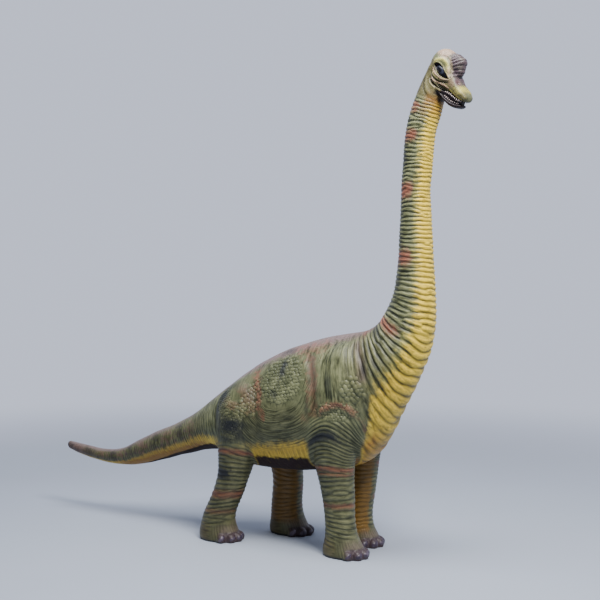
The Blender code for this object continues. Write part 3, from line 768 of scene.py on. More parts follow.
# Broad forms of the sides, as (x, z) points, width, height
bodyStrokes = {
    "behind shoulder": (((0.372, 0.815), (0.404, 0.755), (0.424, 0.690), (0.440, 0.610), (0.450, 0.525)),
                        0.017, -0.0075),
    "shoulder edge": (((0.402, 0.800), (0.436, 0.745), (0.456, 0.690), (0.470, 0.630)), 0.020, 0.0035),
    "before shoulder": (((0.600, 0.845), (0.636, 0.780), (0.652, 0.700), (0.655, 0.610), (0.640, 0.540)),
                        0.015, -0.0055),
    "over foreleg": (((0.456, 0.560), (0.490, 0.600), (0.534, 0.620), (0.580, 0.604), (0.618, 0.560)),
                     0.014, 0.0042),
    "under the arch": (((0.466, 0.540), (0.500, 0.574), (0.536, 0.584), (0.576, 0.570), (0.604, 0.535)),
                       0.011, -0.0042),
    "before thigh": (((0.118, 0.690), (0.146, 0.630), (0.160, 0.560), (0.162, 0.490), (0.140, 0.440)),
                     0.022, -0.0070),
    "behind thigh": (((0.000, 0.660), (-0.030, 0.600), (-0.042, 0.540), (-0.036, 0.480)), 0.018, -0.0050),
    "thigh": (((0.060, 0.610), (0.070, 0.560), (0.065, 0.500)), 0.045, 0.0060),
    "elbow": (((0.450, 0.470), (0.480, 0.440), (0.520, 0.425)), 0.016, -0.0030),
}


# Scale fields: centre (x, z), radii, tilt in degrees, scale size
scaleFields = {
    "flank": ((0.272, 0.697), (0.098, 0.094), 10, 0.0145),
    "hip": ((0.136, 0.618), (0.052, 0.092), -28, 0.0150),
    "thigh": ((0.046, 0.515), (0.056, 0.082), -12, 0.0125),
    "rump": ((-0.020, 0.600), (0.052, 0.060), 20, 0.0100),
    "shoulder": ((0.600, 0.672), (0.046, 0.048), 0, 0.0185),
    "foreArm": ((0.535, 0.588), (0.090, 0.036), 0, 0.0125),
}


def fieldShare(x, z, field):
    (cx, cz), (rx, rz), tilt, _ = scaleFields[field]
    t = math.radians(tilt)
    a = ((x - cx) * math.cos(t) + (z - cz) * math.sin(t)) / rx
    b = (-(x - cx) * math.sin(t) + (z - cz) * math.cos(t)) / rz
    return smoothStep(1.24, 0.76, np.hypot(a, b))


def onScales(place):
    x, z = place["points"][:, 0], place["points"][:, 2]
    outside = smoothStep(0.03, 0.06, np.abs(place["points"][:, 1]))
    total = np.zeros(len(x))
    for field in scaleFields:
        total = np.maximum(total, fieldShare(x, z, field))
    return total * outside


def lineDistance(points, path, samples=48):
    # distance to a smooth line through the path, and how far along it the nearest place is
    line = splineThrough(np.arange(len(path)), path, np.linspace(0, len(path) - 1, samples))
    best = np.full(len(points), 1e9)
    at = np.zeros(len(points))
    for i in range(samples - 1):
        step = line[i + 1] - line[i]
        t = np.clip(((points - line[i]) @ step) / (step @ step), 0, 1)
        far = np.linalg.norm(points - line[i] - t[:, None] * step, axis=1)
        closer = far < best
        best[closer] = far[closer]
        at[closer] = (i + t[closer]) / (samples - 1)
    return best, at


# Strokes that model the sides of the head: points (u, w), width, height
sideStrokes = {
    "brow": (((-0.034, 0.058), (-0.025, 0.073), (-0.012, 0.085), (0.004, 0.090), (0.026, 0.083),
              (0.045, 0.069), (0.062, 0.054)), 0.0085, 0.0046),
    "brow groove": (((-0.022, 0.094), (0.002, 0.104), (0.027, 0.096), (0.046, 0.080), (0.063, 0.061),
                     (0.080, 0.048)), 0.0038, -0.0013),
    "cheek": (((-0.018, 0.032), (0.002, 0.0215), (0.025, 0.0205), (0.050, 0.0265)), 0.0050, 0.0016),
    "lid line": (((-0.026, 0.048), (-0.020, 0.038), (-0.007, 0.0315), (0.009, 0.0290), (0.025, 0.0285),
                  (0.048, 0.0320), (0.070, 0.0425)), 0.0024, 0.0034),
    "under lid": (((-0.024, 0.028), (-0.012, 0.0190), (0.004, 0.0140), (0.025, 0.0140), (0.040, 0.0175),
                   (0.055, 0.0240), (0.077, 0.0340)), 0.0025, -0.0034),
    "lip fold": (((-0.010, 0.0130), (0.002, 0.0075), (0.013, 0.0055), (0.033, 0.0090), (0.052, 0.0140),
                  (0.071, 0.0185), (0.094, 0.0180)), 0.0032, 0.0034),
    "lip run": (((0.090, 0.0175), (0.126, 0.0150), (0.157, 0.0140)), 0.0040, 0.0014),
    "mouth line": (((-0.009, 0.0060), (0.004, -0.0005), (0.016, -0.0045), (0.030, -0.0050), (0.043, -0.0035),
                    (0.068, 0.0000), (0.088, 0.0020)), 0.0026, -0.0062),
    "under fold": (((-0.006, -0.0040), (0.008, -0.0100), (0.023, -0.0135), (0.035, -0.0145), (0.047, -0.0135),
                    (0.066, -0.0090)), 0.0030, 0.0020),
    "throat fold": (((-0.034, -0.004), (-0.020, -0.026), (0.006, -0.044), (0.036, -0.054)), 0.0045, -0.0020),
    "neck cord": (((-0.030, 0.002), (-0.012, -0.018), (0.014, -0.034), (0.042, -0.044)), 0.0060, 0.0012),
}
# The eye's opening, its upper and lower edge as (u, w)
eyeOpening = {
    "upper": ((-0.026, 0.0560), (-0.021, 0.0635), (-0.013, 0.0680), (-0.002, 0.0695), (0.012, 0.0665),
              (0.028, 0.0605), (0.045, 0.0540), (0.058, 0.0498), (0.069, 0.0462)),
    "lower": ((-0.026, 0.0555), (-0.020, 0.0495), (-0.013, 0.0455), (0.003, 0.0395), (0.017, 0.0368),
              (0.031, 0.0362), (0.045, 0.0380), (0.057, 0.0412), (0.069, 0.0460)),
    "depth": 0.0075,
    "rim": 0.0022,
}
nostril = {"place": (0.103, 0.0215, 0.0535), "radii": (0.0110, 0.0085, 0.0060), "depth": 0.0052}
crestWrinkles = {
    # (u, w) from the crest's foot to above its top
    "lines": (
        ((0.004, 0.109), (0.014, 0.124), (0.022, 0.150)), ((0.015, 0.105), (0.026, 0.121), (0.036, 0.150)),
        ((0.026, 0.099), (0.038, 0.117), (0.050, 0.147)), ((0.036, 0.092), (0.050, 0.111), (0.066, 0.138)),
        ((0.045, 0.084), (0.060, 0.102), (0.082, 0.124)), ((0.053, 0.075), (0.068, 0.090), (0.092, 0.107)),
        ((0.061, 0.067), (0.075, 0.079), (0.096, 0.092)), ((0.070, 0.060), (0.083, 0.069), (0.100, 0.078)),
    ),
    "width": 0.0030,
    "depth": 0.0023,
    # how dark the painted shade in each wrinkle is
    "darkness": 0.5,
}


def insideEye(u, w):
    # metres inside the opening's edge, less than 0 outside
    upper, lower = [splineRows(eyeOpening[edge], u)[:, 0] for edge in ("upper", "lower")]
    reach = np.minimum(u + 0.026, 0.069 - u) * 0.7
    return np.minimum(np.minimum(upper - w, w - lower) * 0.85, reach)


def atNostril(u, v, w):
    return ((np.stack([u, v, w], axis=1) - nostril["place"]) / nostril["radii"]) ** 2


def headSides(place):
    # the head's points: which they are, u, v as a distance from the middle, w, and how far on the side
    near = place["points"][:, 2] > head["above"]
    uvw = place["uvw"][near]
    u, v, w = uvw.T
    v = np.abs(v)
    return near, uvw, u, v, w, smoothStep(0.012, 0.022, v) * (u > -0.06)


def headRelief(place):
    # height of the head's own forms, and the painted shade in its grooves, nostrils and crest wrinkles
    near, uvw, u, v, w, onSide = headSides(place)
    height = np.zeros(len(near))
    crease = np.zeros(len(near))
    uw = np.stack([u, w], axis=1)
    bump = np.zeros(len(u))
    dark = np.zeros(len(u))
    for path, width, rise in sideStrokes.values():
        far, at = lineDistance(uw, path)
        ends = 0.3 + 0.7 * smoothStep(0, 0.14, at) * smoothStep(1, 0.88, at)
        shape = bell(far, 0, width) * ends
        bump += rise * shape * onSide
        if rise < 0:
            dark = np.maximum(dark, shape * onSide * min(1.0, -rise / 0.0034))
    hole = np.exp(-atNostril(u, v, w).sum(axis=1))
    bump -= nostril["depth"] * hole
    dark = np.maximum(dark, hole * 0.9)
    waver = gradientNoise(uvw * 60, 7) * 0.003
    for path in crestWrinkles["lines"]:
        far, at = lineDistance(uw, path, 16)
        shape = bell(far + waver, 0, crestWrinkles["width"]) * smoothStep(0, 0.2, at)
        bump -= crestWrinkles["depth"] * shape
        dark = np.maximum(dark, crestWrinkles["darkness"] * shape)
    inside = insideEye(u, w)
    bump -= eyeOpening["depth"] * smoothStep(-0.0010, 0.0030, inside) * onSide
    bump += eyeOpening["rim"] * bell(inside, -0.0022, 0.0018) * onSide
    bump += gradientNoise(uvw * 120, 5) * 0.00035 + gradientNoise(uvw * 45, 6) * 0.0006
    height[near] = bump
    crease[near] = dark
    return height, crease


# Paint: each mask is 0 to 1

paints = {
    "oliveLight": (0.190, 0.203, 0.108),
    "oliveDark": (0.040, 0.047, 0.021),
    "mauve": (0.165, 0.120, 0.118),
    "red": (0.230, 0.088, 0.058),
    "dark": (0.015, 0.018, 0.024),
    "yellow": (0.780, 0.560, 0.055),
    "orange": (0.300, 0.130, 0.020),
    # the dark underside: dark paint and painted shade in one
    "under": (0.018, 0.004, 0.005),
    "ochre": (0.200, 0.115, 0.024),
    "violet": (0.074, 0.050, 0.064),
    "pink": (0.210, 0.125, 0.140),
    "cream": (0.400, 0.370, 0.085),
    "pale": (0.290, 0.200, 0.150),
    "mouth": (0.012, 0.005, 0.010),
    # painted shade and a dark wash: what a crease's colour is multiplied by
    "creaseWashAndShade": (0.20, 0.21, 0.15),   # what a crease's paint is multiplied by
    "ridgeWash": (1.60, 1.52, 1.36),
    "shadeWash": (0.62, 0.56, 0.50),
# painted shade: what the shade mask multiplies the colour by
}
# the later ones lie over the earlier
paintOrder = ("ochre", "mauve", "yellow", "orange", "red", "dark", "violet", "pink", "cream", "pale",
              "under", "mouth")

# station, angle, half length in stations, strength
redNeck = ((22.25, 70, 0.22, 0.8), (21.95, 66, 0.14, 0.7), (20.80, 78, 0.24, 0.95), (19.00, 80, 0.25, 0.95),
           (17.25, 82, 0.24, 0.90), (14.70, 72, 0.26, 0.9), (13.2, 20, 0.30, 0.5))
darkNeck = ((19.95, 50, 0.36, 0.65), (18.35, 44, 0.30, 0.45), (17.75, 48, 0.22, 0.55),
            (16.50, 52, 0.42, 0.55), (15.5, 44, 0.36, 0.45), (14.05, 54, 0.34, 0.6), (21.4, 44, 0.22, 0.45))
# Lines and spots on the sides: (x, z) points, width, strength
redLines = (
    (((0.122, 0.716), (0.146, 0.672), (0.166, 0.630), (0.180, 0.585), (0.200, 0.548)), 0.017, 0.62),
    (((0.448, 0.560), (0.486, 0.598), (0.534, 0.617), (0.580, 0.601), (0.617, 0.560), (0.634, 0.515)),
     0.016, 0.62),
    (((0.372, 0.805), (0.408, 0.750), (0.424, 0.690), (0.438, 0.610), (0.447, 0.540)), 0.026, 0.44),
    (((0.085, 0.640), (0.110, 0.615), (0.140, 0.575)), 0.034, 0.34),
    (((0.010, 0.600), (0.045, 0.590), (0.075, 0.580)), 0.020, 0.36),
    (((0.300, 0.835), (0.370, 0.822), (0.440, 0.835)), 0.030, 0.45),
    (((0.120, 0.720), (0.135, 0.690), (0.140, 0.660)), 0.036, 0.30),
    (((0.400, 0.560), (0.450, 0.520), (0.455, 0.470)), 0.022, 0.35),
)
mauveLines = (
    (((0.590, 0.850), (0.622, 0.790), (0.636, 0.720)), 0.024, 0.55),
    (((0.390, 0.790), (0.415, 0.740), (0.430, 0.680)), 0.026, 0.50),
    (((0.060, 0.660), (0.100, 0.650), (0.130, 0.620)), 0.030, 0.35),
)
darkSpots = (
    ((0.264, 0.742), (0.022, 0.055), 0.75), ((0.250, 0.640), (0.026, 0.026), 0.5),
    ((0.240, 0.812), (0.055, 0.020), 0.6), ((0.637, 0.765), (0.014, 0.045), 0.7),
    ((0.046, 0.500), (0.076, 0.042), 0.85), ((0.085, 0.465), (0.036, 0.050), 0.60),
    ((0.030, 0.440), (0.060, 0.030), 0.6),
    ((-0.020, 0.615), (0.044, 0.044), 0.7), ((-0.052, 0.560), (0.020, 0.070), 0.65),
    ((0.500, 0.700), (0.026, 0.050), 0.5), ((0.030, 0.660), (0.040, 0.022), 0.4),
    ((0.330, 0.560), (0.050, 0.040), 0.35), ((0.180, 0.470), (0.060, 0.030), 0.35),
    ((0.410, 0.600), (0.014, 0.060), 0.45),
)
legBands = {
    # paint: height, half width, strength, and the turn (dx) up to which it reaches forward
    "front": (
        ("red", 0.358, 0.014, 0.70, 2), ("red", 0.335, 0.009, 0.55, 2), ("red", 0.208, 0.014, 0.60, 2),
        ("dark", 0.492, 0.024, 0.85, 0.5), ("dark", 0.308, 0.014, 0.40, 0.6),
        ("dark", 0.262, 0.012, 0.30, 0.6), ("dark", 0.160, 0.016, 0.35, 0.2)),
    "hind": (
        ("red", 0.395, 0.016, 0.75, 2), ("red", 0.205, 0.022, 0.65, 2), ("red", 0.130, 0.016, 0.45, 2),
        ("dark", 0.295, 0.030, 0.95, 0.2), ("dark", 0.240, 0.016, 0.30, 0.4),
        ("dark", 0.160, 0.016, 0.40, 0.2)),
}
# painted shade on the legs, front and hind
legShade = {"front": 0.60, "hind": 0.85}
# station, and the angle where the yellow and then the dark underside starts
yellowEdge = (
    (0, 150), (2, 132), (3.5, 116), (5, 112), (6.2, 110), (7.2, 112), (8.2, 119), (9.0, 122), (10.5, 122),
    (11.4, 126), (12.1, 146), (12.4, 136), (12.9, 118), (13.6, 123), (15.0, 124), (17.2, 122), (18.7, 123),
    (20.0, 125), (21.0, 128), (22.0, 130), (24.0, 134))
darkEdge = (
    (0, 190), (3.0, 185), (4.0, 160), (5.0, 146), (6.2, 136), (7.0, 128), (8.2, 131), (9.0, 131.5),
    (10.5, 135), (11.1, 140), (11.5, 176), (11.8, 200), (24, 200))
# where the crest begins on the side of the head: (u, w)
crestEdge = (
    (-0.030, 0.128), (-0.014, 0.118), (-0.001, 0.116), (0.014, 0.109), (0.031, 0.100), (0.044, 0.090),
    (0.054, 0.079), (0.064, 0.067), (0.078, 0.056), (0.094, 0.046), (0.108, 0.041), (0.124, 0.038))


def headMasks(place):
    near, uvw, u, v, w, onSide = headSides(place)
    onHead = place["onHead"][near]
    uw = np.stack([u, w], axis=1)
    ragged = gradientNoise(uvw * 90, 61) * 0.003

    def stroke(name, width):
        far, at = lineDistance(uw, sideStrokes[name][0], 36)
        return bell(far, 0, width) * onSide * smoothStep(0, 0.1, at)

    edge = np.interp(u, *zip(*crestEdge))
    crest = smoothStep(-0.006, 0.007, w - edge + ragged * 1.6) * smoothStep(0.040, 0.030, v)
    crest *= smoothStep(-0.03, 0.0, u) * smoothStep(0.136, 0.092, u + ragged * 3)
    offCrest = 1 - crest
    # pale paint on the muzzle's top, partly a painted highlight
    muzzleTop = smoothStep(0.090, 0.128, u + ragged * 3) * smoothStep(0.014, 0.044, w + ragged * 2)
    cream = offCrest * most(
        0.55 * stroke("brow", 0.0075) * smoothStep(0.070, 0.030, u),
        # the muzzle's top: pale paint and painted highlight
        0.82 * muzzleTop * smoothStep(0.170, 0.136, u + ragged * 2),
        0.8 * stroke("lip run", 0.004),
    )
    jawHalf = splineThrough(*zip(*[(j[0], j[3]) for j in jawStations]), u)[:, 0]
    inJaw = smoothStep(jawHalf + 0.012, jawHalf + 0.006, v)
    lip = w - np.interp(u, *zip(*[(s[0], s[2]) for s in snoutStations]))
    pale = most(
        stroke("lid line", 0.0028),
        stroke("lip fold", 0.0036) * smoothStep(0.105, 0.080, u),
        0.40 * stroke("under fold", 0.0026),
        0.60 * stroke("brow", 0.0075) * smoothStep(0.010, 0.050, u),
        0.75 * smoothStep(0.078, 0.104, w + ragged) * smoothStep(0.016, -0.006, u),
        0.50 * between(u, 0.062, 0.080, 0.094, 0.112) * smoothStep(0.022, 0.034, w) * offCrest,
        0.70 * bell(w, edge, 0.011) * offCrest * between(u, -0.01, 0.02, 0.070, 0.088),
        # painted highlight: a pale line along the upper lip's lower edge
        0.60 * bell(lip, 0.0024, 0.0013) * between(u, 0.075, 0.090, 0.150, 0.172),
    )
    inMouth = smoothStep(0.0016, -0.0012, lip + ragged * 0.2) * smoothStep(-0.052, -0.046, w)
    inMouth *= smoothStep(0.052, 0.074, u) * inJaw
    jaw = between(w, -0.036, -0.030, -0.014, -0.010) * smoothStep(0.026, 0.056, u) * inJaw
    eyeDark = smoothStep(-0.0012, 0.0004, insideEye(u, w)) * onSide
    muzzle = smoothStep(0.115, 0.150, u) * smoothStep(0.030, 0.012, w) * (lip > 0.004)
    shadow = bell(w, -0.034, 0.010) * between(u, -0.010, 0.020, 0.080, 0.120)
    return near, {
        "violet": crest * (0.80 + 0.32 * gradientNoise(uvw * 38, 62)).clip(0, 1),
        "pink": np.exp(-atNostril(u, v, w).sum(axis=1) / 3) * onHead,
        "cream": cream * onHead,
        "pale": pale * onHead,
        "mouth": most(inMouth, stroke("mouth line", 0.0030), eyeDark, jaw * 0.85) * onHead,
        "ochre": 0.30 * onSide * smoothStep(0.10, 0.06, w) * offCrest * onHead,
        "dark": most(muzzle * 0.35, shadow * 0.28) * onHead,
    }


def paintMasks(place):
    trunk, points, onHead = place["trunk"], place["points"], place["onHead"]
    station, angle = trunk["station"], trunk["angle"]
    x, y, z = points.T
    w = place["uvw"][:, 2]
    onLeg = most(*[there["share"] for there in place["legs"].values()])
    onTrunk = (1 - onLeg) * (1 - onHead)
    ragged = gradientNoise(points * 55, 71) * 0.6 + gradientNoise(points * 140, 72) * 0.4
    outside = smoothStep(0.02, 0.06, np.abs(y))
    onBody = (station > 7) & (station < 13.8)
    flatSide = np.stack([x, z], axis=1)[onBody]
    paint = {name: np.zeros(len(x)) for name in (*paintOrder, "shade")}

    def lay(name, values, where=slice(None)):
        paint[name][where] = np.maximum(paint[name][where], values)

    def neckSpots(name, spots, waver, reach):
        for s, a, half, strength in spots:
            spot = bell(station + ragged * waver, s, half)
            lay(name, spot * smoothStep(a + reach, a + 40 - reach, angle + ragged * 20) * strength)

    def sideLines(name, lines, waver):
        for path, width, strength in lines:
            far, _ = lineDistance(flatSide, path, 20)
            line = bell(far + ragged[onBody] * width * waver, 0, width)
            lay(name, line * strength * outside[onBody], onBody)

    # back, neck and sides
    lay("mauve", smoothStep(38, 14, angle + ragged * 8) * smoothStep(15.4, 13.8, station))
    lay("mauve", 0.9 * smoothStep(2.2, 0.4, station))
    lay("mauve", 0.75 * smoothStep(62, 30, angle + ragged * 10) * smoothStep(6.8, 4.5, station))
    paint["mauve"] *= onTrunk
    neckSpots("red", redNeck, 0.14, 44)
    neckSpots("dark", darkNeck, 0.12, 46)
    sideLines("red", redLines, 1.5)
    sideLines("mauve", mauveLines, 0.45)
    for (cx, cz), (rx, rz), strength in darkSpots:
        far = np.hypot((x - cx) / rx, (z - cz) / rz) + ragged * 0.4
        lay("dark", bell(far, 0, 1) * strength * outside)

    # the tail's bands
    bands = 0.5 + 0.5 * np.sin(station * 5.6 + 1.0)
    alongTail = smoothStep(7.0, 6.0, station)
    tailSide = alongTail * between(angle, 20, 50, 95, 120)
    lay("dark", 0.50 * tailSide * smoothStep(0.35, 1.1, bands + ragged * 0.9))
    lay("red", 0.30 * tailSide * smoothStep(0.45, 1.1, 1 - bands + ragged * 0.9))
    lay("mauve", 0.62 * alongTail * (1 - onLeg) * smoothStep(0.2, 0.9, 0.5 + ragged))
    paint["red"] *= onTrunk
    paint["dark"] *= onTrunk

    # the yellow below, its orange and cream edges, and the dark underside, partly dark paint and partly
    # painted shade
    edge = np.interp(station, *zip(*yellowEdge))
    onNeck = smoothStep(12.2, 13.6, station)
    onTail = smoothStep(7.6, 6.2, station)
    soft = 13 + 11 * onNeck + 9 * onTail
    inside = angle - edge + ragged * (5 + 10 * onNeck + 5 * onTail) + place["lift"] * (5 + 19 * onNeck)
    lay("yellow", smoothStep(-soft, soft - 4, inside) * onTrunk)
    lay("under", smoothStep(-4, 4, angle - np.interp(station, *zip(*darkEdge)) + ragged * 3) * onTrunk)
    throat = smoothStep(21.0, 22.3, station) * smoothStep(66, 112, angle) * (z > 1.6)
    lay("orange", 0.58 * throat * smoothStep(-0.008, -0.060, w + ragged * 0.01))
    lay("orange", 0.40 * bell(angle, edge + 4, 9) * between(station, 8, 8.8, 12.0, 12.6) * onTrunk)
    tailBelow = onTail * smoothStep(100, 132, angle + ragged * 14) * smoothStep(2.0, 3.2, station)
    lay("orange", 0.70 * tailBelow * onTrunk)
    lay("orange", 0.65 * between(station, 11.0, 11.6, 12.2, 13.0) * smoothStep(128, 150, angle) * onTrunk)
    lay("cream", 0.36 * bell(angle + ragged * 14, edge - 12, 14) * onNeck * onTrunk)

    # painted shade: darker where less light falls, on the lower flanks, the tail, the neck's base and the
    # lower head
    lay("shade", 0.55 * smoothStep(0.66, 0.54, z) * between(station, 7.5, 8.2, 11.2, 12.0))
    lay("shade", 0.80 * onTail * smoothStep(15, 90, angle))
    paint["shade"] *= onTrunk
    lay("shade", 0.50 * between(station, 11.8, 12.8, 13.4, 14.6) * onTrunk)
    lay("shade", 0.55 * onHead * smoothStep(0.085, 0.050, w))

    for leg, there in place["legs"].items():
        share, dx = there["share"], there["dx"]
        pair = legs[leg][0]
        outward = there["dy"] / there["reach"].clip(0.2) + ragged * 0.25
        level = ringLevel(leg, there, z) + ragged * 0.008
        for name, at, half, strength, front in legBands[pair]:
            band = bell(level, at, half) * strength * share * smoothStep(-0.55, 0.1, outward)
            lay(name, band * smoothStep(front + 0.5, front - 0.3, dx + ragged * 0.4))
        inner = smoothStep(-0.10, -0.60, outward) * smoothStep(0.50, 0.40, z)
        lay("ochre", inner * share * smoothStep(0.03, 0.09, z))
        heel = smoothStep(0.12, 0.05, z + ragged * 0.02) * smoothStep(0.6, -0.6, dx + ragged * 0.3)
        lay("ochre", 0.38 * share * heel)
        footTop = smoothStep(0.105, 0.04, z + ragged * 0.02) * smoothStep(-0.2, 0.75, dx + ragged * 0.3)
        lay("mauve", 0.55 * share * footTop)
        toes = share * smoothStep(0.050, 0.032, z + ragged * 0.003) * smoothStep(0.25, 0.60, dx)
        lay("violet", toes * 0.9)
        lay("dark", toes * 0.62)
        # painted shade on the leg below its top
        lay("shade", share * legShade[pair] * smoothStep(0.62, 0.42, z))
    lay("dark", 0.9 * smoothStep(0.012, 0.005, z) * (onLeg > 0.3))
    near, headPaint = headMasks(place)
    for name, values in headPaint.items():
        lay(name, values, near)
    return paint


lighter = {
    # painted highlight where the light falls on the shoulders, the olive lighter there: (x, z), reach, by how
    # much
    "place": (0.580, 0.715),
    "reach": (0.075, 0.105),
    "by": 0.20,
}


def paintedShoulderHighlight(points):
    x, y, z = points.T
    (cx, cz), (rx, rz) = lighter["place"], lighter["reach"]
    near = np.exp(-((x - cx) / rx) ** 2 - ((z - cz) / rz) ** 2)
    return lighter["by"] * near * smoothStep(0.02, 0.06, np.abs(y))


blend = {
    "underScales": 0.85,      # how far the folds give way under the scales
    "hidden": 0.80,           # and the creases and strands
    "scaleWear": 0.35,        # and the ridges' light
    "scaleBed": 0.0012,       # how deep the scales' ground lies
    # painted shade on the skin between the scales
    "scaleDark": 0.29,        # the paint's darkness between the scales
    "uneven": 0.0020,         # the surface's slow waves
    # painted shade in the sides' hollows: the depth at which it is darkest, and how dark
    "hollow": (0.007, 0.38),  # a hollow's depth where its paint is darkest, and how dark
    # painted shade and wash in the creases, deeper in the yellow
    "yellowDark": 0.80,       # how much darker the creases are in the yellow
    "ridge": 1.15,            # how much lighter the ridges are
    "headRidge": 0.0060,      # height of the head's forms where they're lightest
    "strandsOnHead": 0.35,
    "strandsOnLegs": 0.60,
}


def soften(skin):
    # the limbs' tops, or the head's crest and nape
    x, y, z = skin["points"].T
    for (cx, cz), (rx, rz), times in softPlaces.values():
        near = np.hypot((x - cx) / rx, (z - cz) / rz)
        melt(skin, smoothStep(1.0, 0.55, near) * smoothStep(0.025, 0.055, np.abs(y)), times)
    if skin is skull:
        u, _, w = moved(skin["points"], toHead).T
        melt(skin, smoothStep(0.064, 0.078, w) * smoothStep(-0.05, -0.02, u), softHead["crest"])
        nape = smoothStep(-0.008, -0.030, u) * smoothStep(-0.035, -0.010, w) * smoothStep(0.110, 0.085, w)
        melt(skin, nape, softHead["nape"])


def broadRelief(place):
    # muscles and hollows of the sides
    x, y, z = place["points"].T
    station = place["trunk"]["station"]
    onBody = (station > 6.5) & (station < 14.5)
    broad = np.zeros(len(x))
    outside = smoothStep(0.04, 0.08, np.abs(y[onBody]))
    for path, width, rise in bodyStrokes.values():
        far, at = lineDistance(np.stack([x, z], axis=1)[onBody], path, 24)
        broad[onBody] += rise * bell(far, 0, width) * outside * between(at, 0, 0.2, 0.8, 1)
    uneven = gradientNoise(place["points"] * 11, 91) * blend["uneven"]
    return broad + uneven * smoothStep(0.1, 0.3, z) * (1 - place["onHead"])


def shapeSkin(skin, rounds):
    relax(skin, rounds, np.ones(len(skin["points"])))
    soften(skin)
    place = bodyPlaces(skin["points"])
    normals = pointNormals(skin)
    height, crease, lift, grain, firm = foldRelief(place)
    headHeight, headCrease = headRelief(place)
    scaly = onScales(place)
    height = height * (1 - blend["underScales"] * scaly) + headHeight - blend["scaleBed"] * scaly
    broad = broadRelief(place)
    # painted shade in the hollows of the sides, darker the deeper they are
    deepest, darkest = blend["hollow"]
    crease = np.maximum(crease, np.clip(-broad / deepest, 0, 1) * darkest)
    crease = np.maximum(crease * (1 - blend["hidden"] * scaly), headCrease)
    floorFade = smoothStep(0.0, 0.02, skin["points"][:, 2])
    skin["smooth"] = skin["points"] + normals * broad[:, None]
    skin["points"] += normals * ((height + broad) * floorFade)[:, None]
    skin["points"][:, 2] = skin["points"][:, 2].clip(0.0)
    skin["normals"] = pointNormals(skin)
    place["lift"] = lift
    masks = paintMasks(place)
    # the creases' painted shade and wash are deeper in the yellow
    crease = np.clip(crease * (1 + blend["yellowDark"] * masks["yellow"]), 0, 1)
    # painted shade on the skin between the scales
    masks["crease"] = np.maximum(crease, scaly * blend["scaleDark"])
    ridge = np.clip(0.5 + lift * blend["ridge"] * (1 - scaly) + headHeight / blend["headRidge"], 0, 1)
    # ridges lighter, with the painted highlight on the shoulders added
    masks["ridge"] = ridge * (1 - scaly * blend["scaleWear"]) + paintedShoulderHighlight(skin["points"])
    onLeg = most(*[there["share"] for there in place["legs"].values()])
    onSkull = np.where(place["onHead"] > 0.5, blend["strandsOnHead"], 1.0)
    masks["firm"] = firm * (1 - blend["hidden"] * scaly) * onSkull
    masks["firm"] *= 1 - (1 - blend["strandsOnLegs"]) * onLeg
    skin["masks"] = masks
    skin["grain"] = grain
    skin["place"] = place


say("voxel skin: body")
body = oneSkin("body", bodyForms(), statue["skinGrid"])
say("voxel skin: head")
skull = oneSkin("skull", skullForms(), statue["headGrid"])
say("points", len(body["points"]), "on the body,", len(skull["points"]), "on the head")
shapeSkin(body, statue["skinRounds"])
say("body shaped")
shapeSkin(skull, statue["headRounds"])
say("head shaped")


def storeOn(mesh, values):
    # numbers or vectors at the mesh's points, by name
    for name, column in values.items():
        column = np.asarray(column, np.float32)
        kind, field = ("FLOAT", "value") if column.ndim == 1 else ("FLOAT_VECTOR", "vector")
        mesh.attributes.new(name, kind, "POINT").data.foreach_set(field, column.ravel())


def skinPiece(name, skin, chosen, material):
    # the chosen squares as a piece, with the whole skin's normals so that no seam shows
    quads = skin["quads"][chosen]
    used = np.unique(quads)
    renumber = np.full(len(skin["points"]), -1)
    renumber[used] = np.arange(len(used))
    mesh = meshOf(name, skin["points"][used], renumber[quads].tolist())
    stored = {**skin["masks"], "grain": skin["grain"]}
    storeOn(mesh, {mask: values[used] for mask, values in stored.items()})
    mesh.shade_smooth()
    mesh.normals_split_custom_set_from_vertices(skin["normals"][used].tolist())
    mesh.materials.append(material)
    say(name, len(quads) * 2, "triangles")
    return addObject(name, mesh)


# Materials

def feed(tree, node, inputs):
    # each from another node, or as a plain number, vector or colour
    for key, value in inputs.items():
        socket = node.inputs[key]
        if isinstance(value, bpy.types.NodeSocket):
            tree.links.new(value, socket)
        elif socket.type == "RGBA":
            socket.default_value = (*value, 1.0)
        else:
            socket.default_value = value


def addNode(tree, kind, inputs=None, **settings):
    # nodes stand in rows, in the order they're made
    row, column = divmod(len(tree.nodes), 10)
    node = tree.nodes.new(kind)
    node.location = (column * 200, row * -300)
    for name, value in settings.items():
        setattr(node, name, value)
    feed(tree, node, inputs or {})
    return node


def mixColours(tree, factor, below, above, how="MIX"):
    inputs = {0: factor, 6: below, 7: above}
    return addNode(tree, "ShaderNodeMix", inputs, data_type="RGBA", blend_type=how).outputs[2]


def maths(tree, operation, *values):
    return addNode(tree, "ShaderNodeMath", dict(enumerate(values)), operation=operation).outputs[0]


def ramp(tree, value, low, high):
    inputs = {"Value": value, "From Min": low, "From Max": high}
    return addNode(tree, "ShaderNodeMapRange", inputs, interpolation_type="SMOOTHSTEP").outputs[0]


def noiseOn(tree, vector, scale, detail, rough=0.5):
    inputs = {"Vector": vector, "Scale": scale, "Detail": detail, "Roughness": rough}
    return addNode(tree, "ShaderNodeTexNoise", inputs).outputs["Fac"]


def newMaterial(name):
    material = bpy.data.materials.new(name)
    material.use_nodes = True
    tree = material.node_tree
    coords = addNode(tree, "ShaderNodeTexCoord").outputs["Object"]
    return material, tree, tree.nodes["Principled BSDF"], coords


def bumpFrom(tree, height, strength, depth):
    inputs = {"Strength": strength, "Distance": depth, "Height": height}
    return addNode(tree, "ShaderNodeBump", inputs).outputs[0]


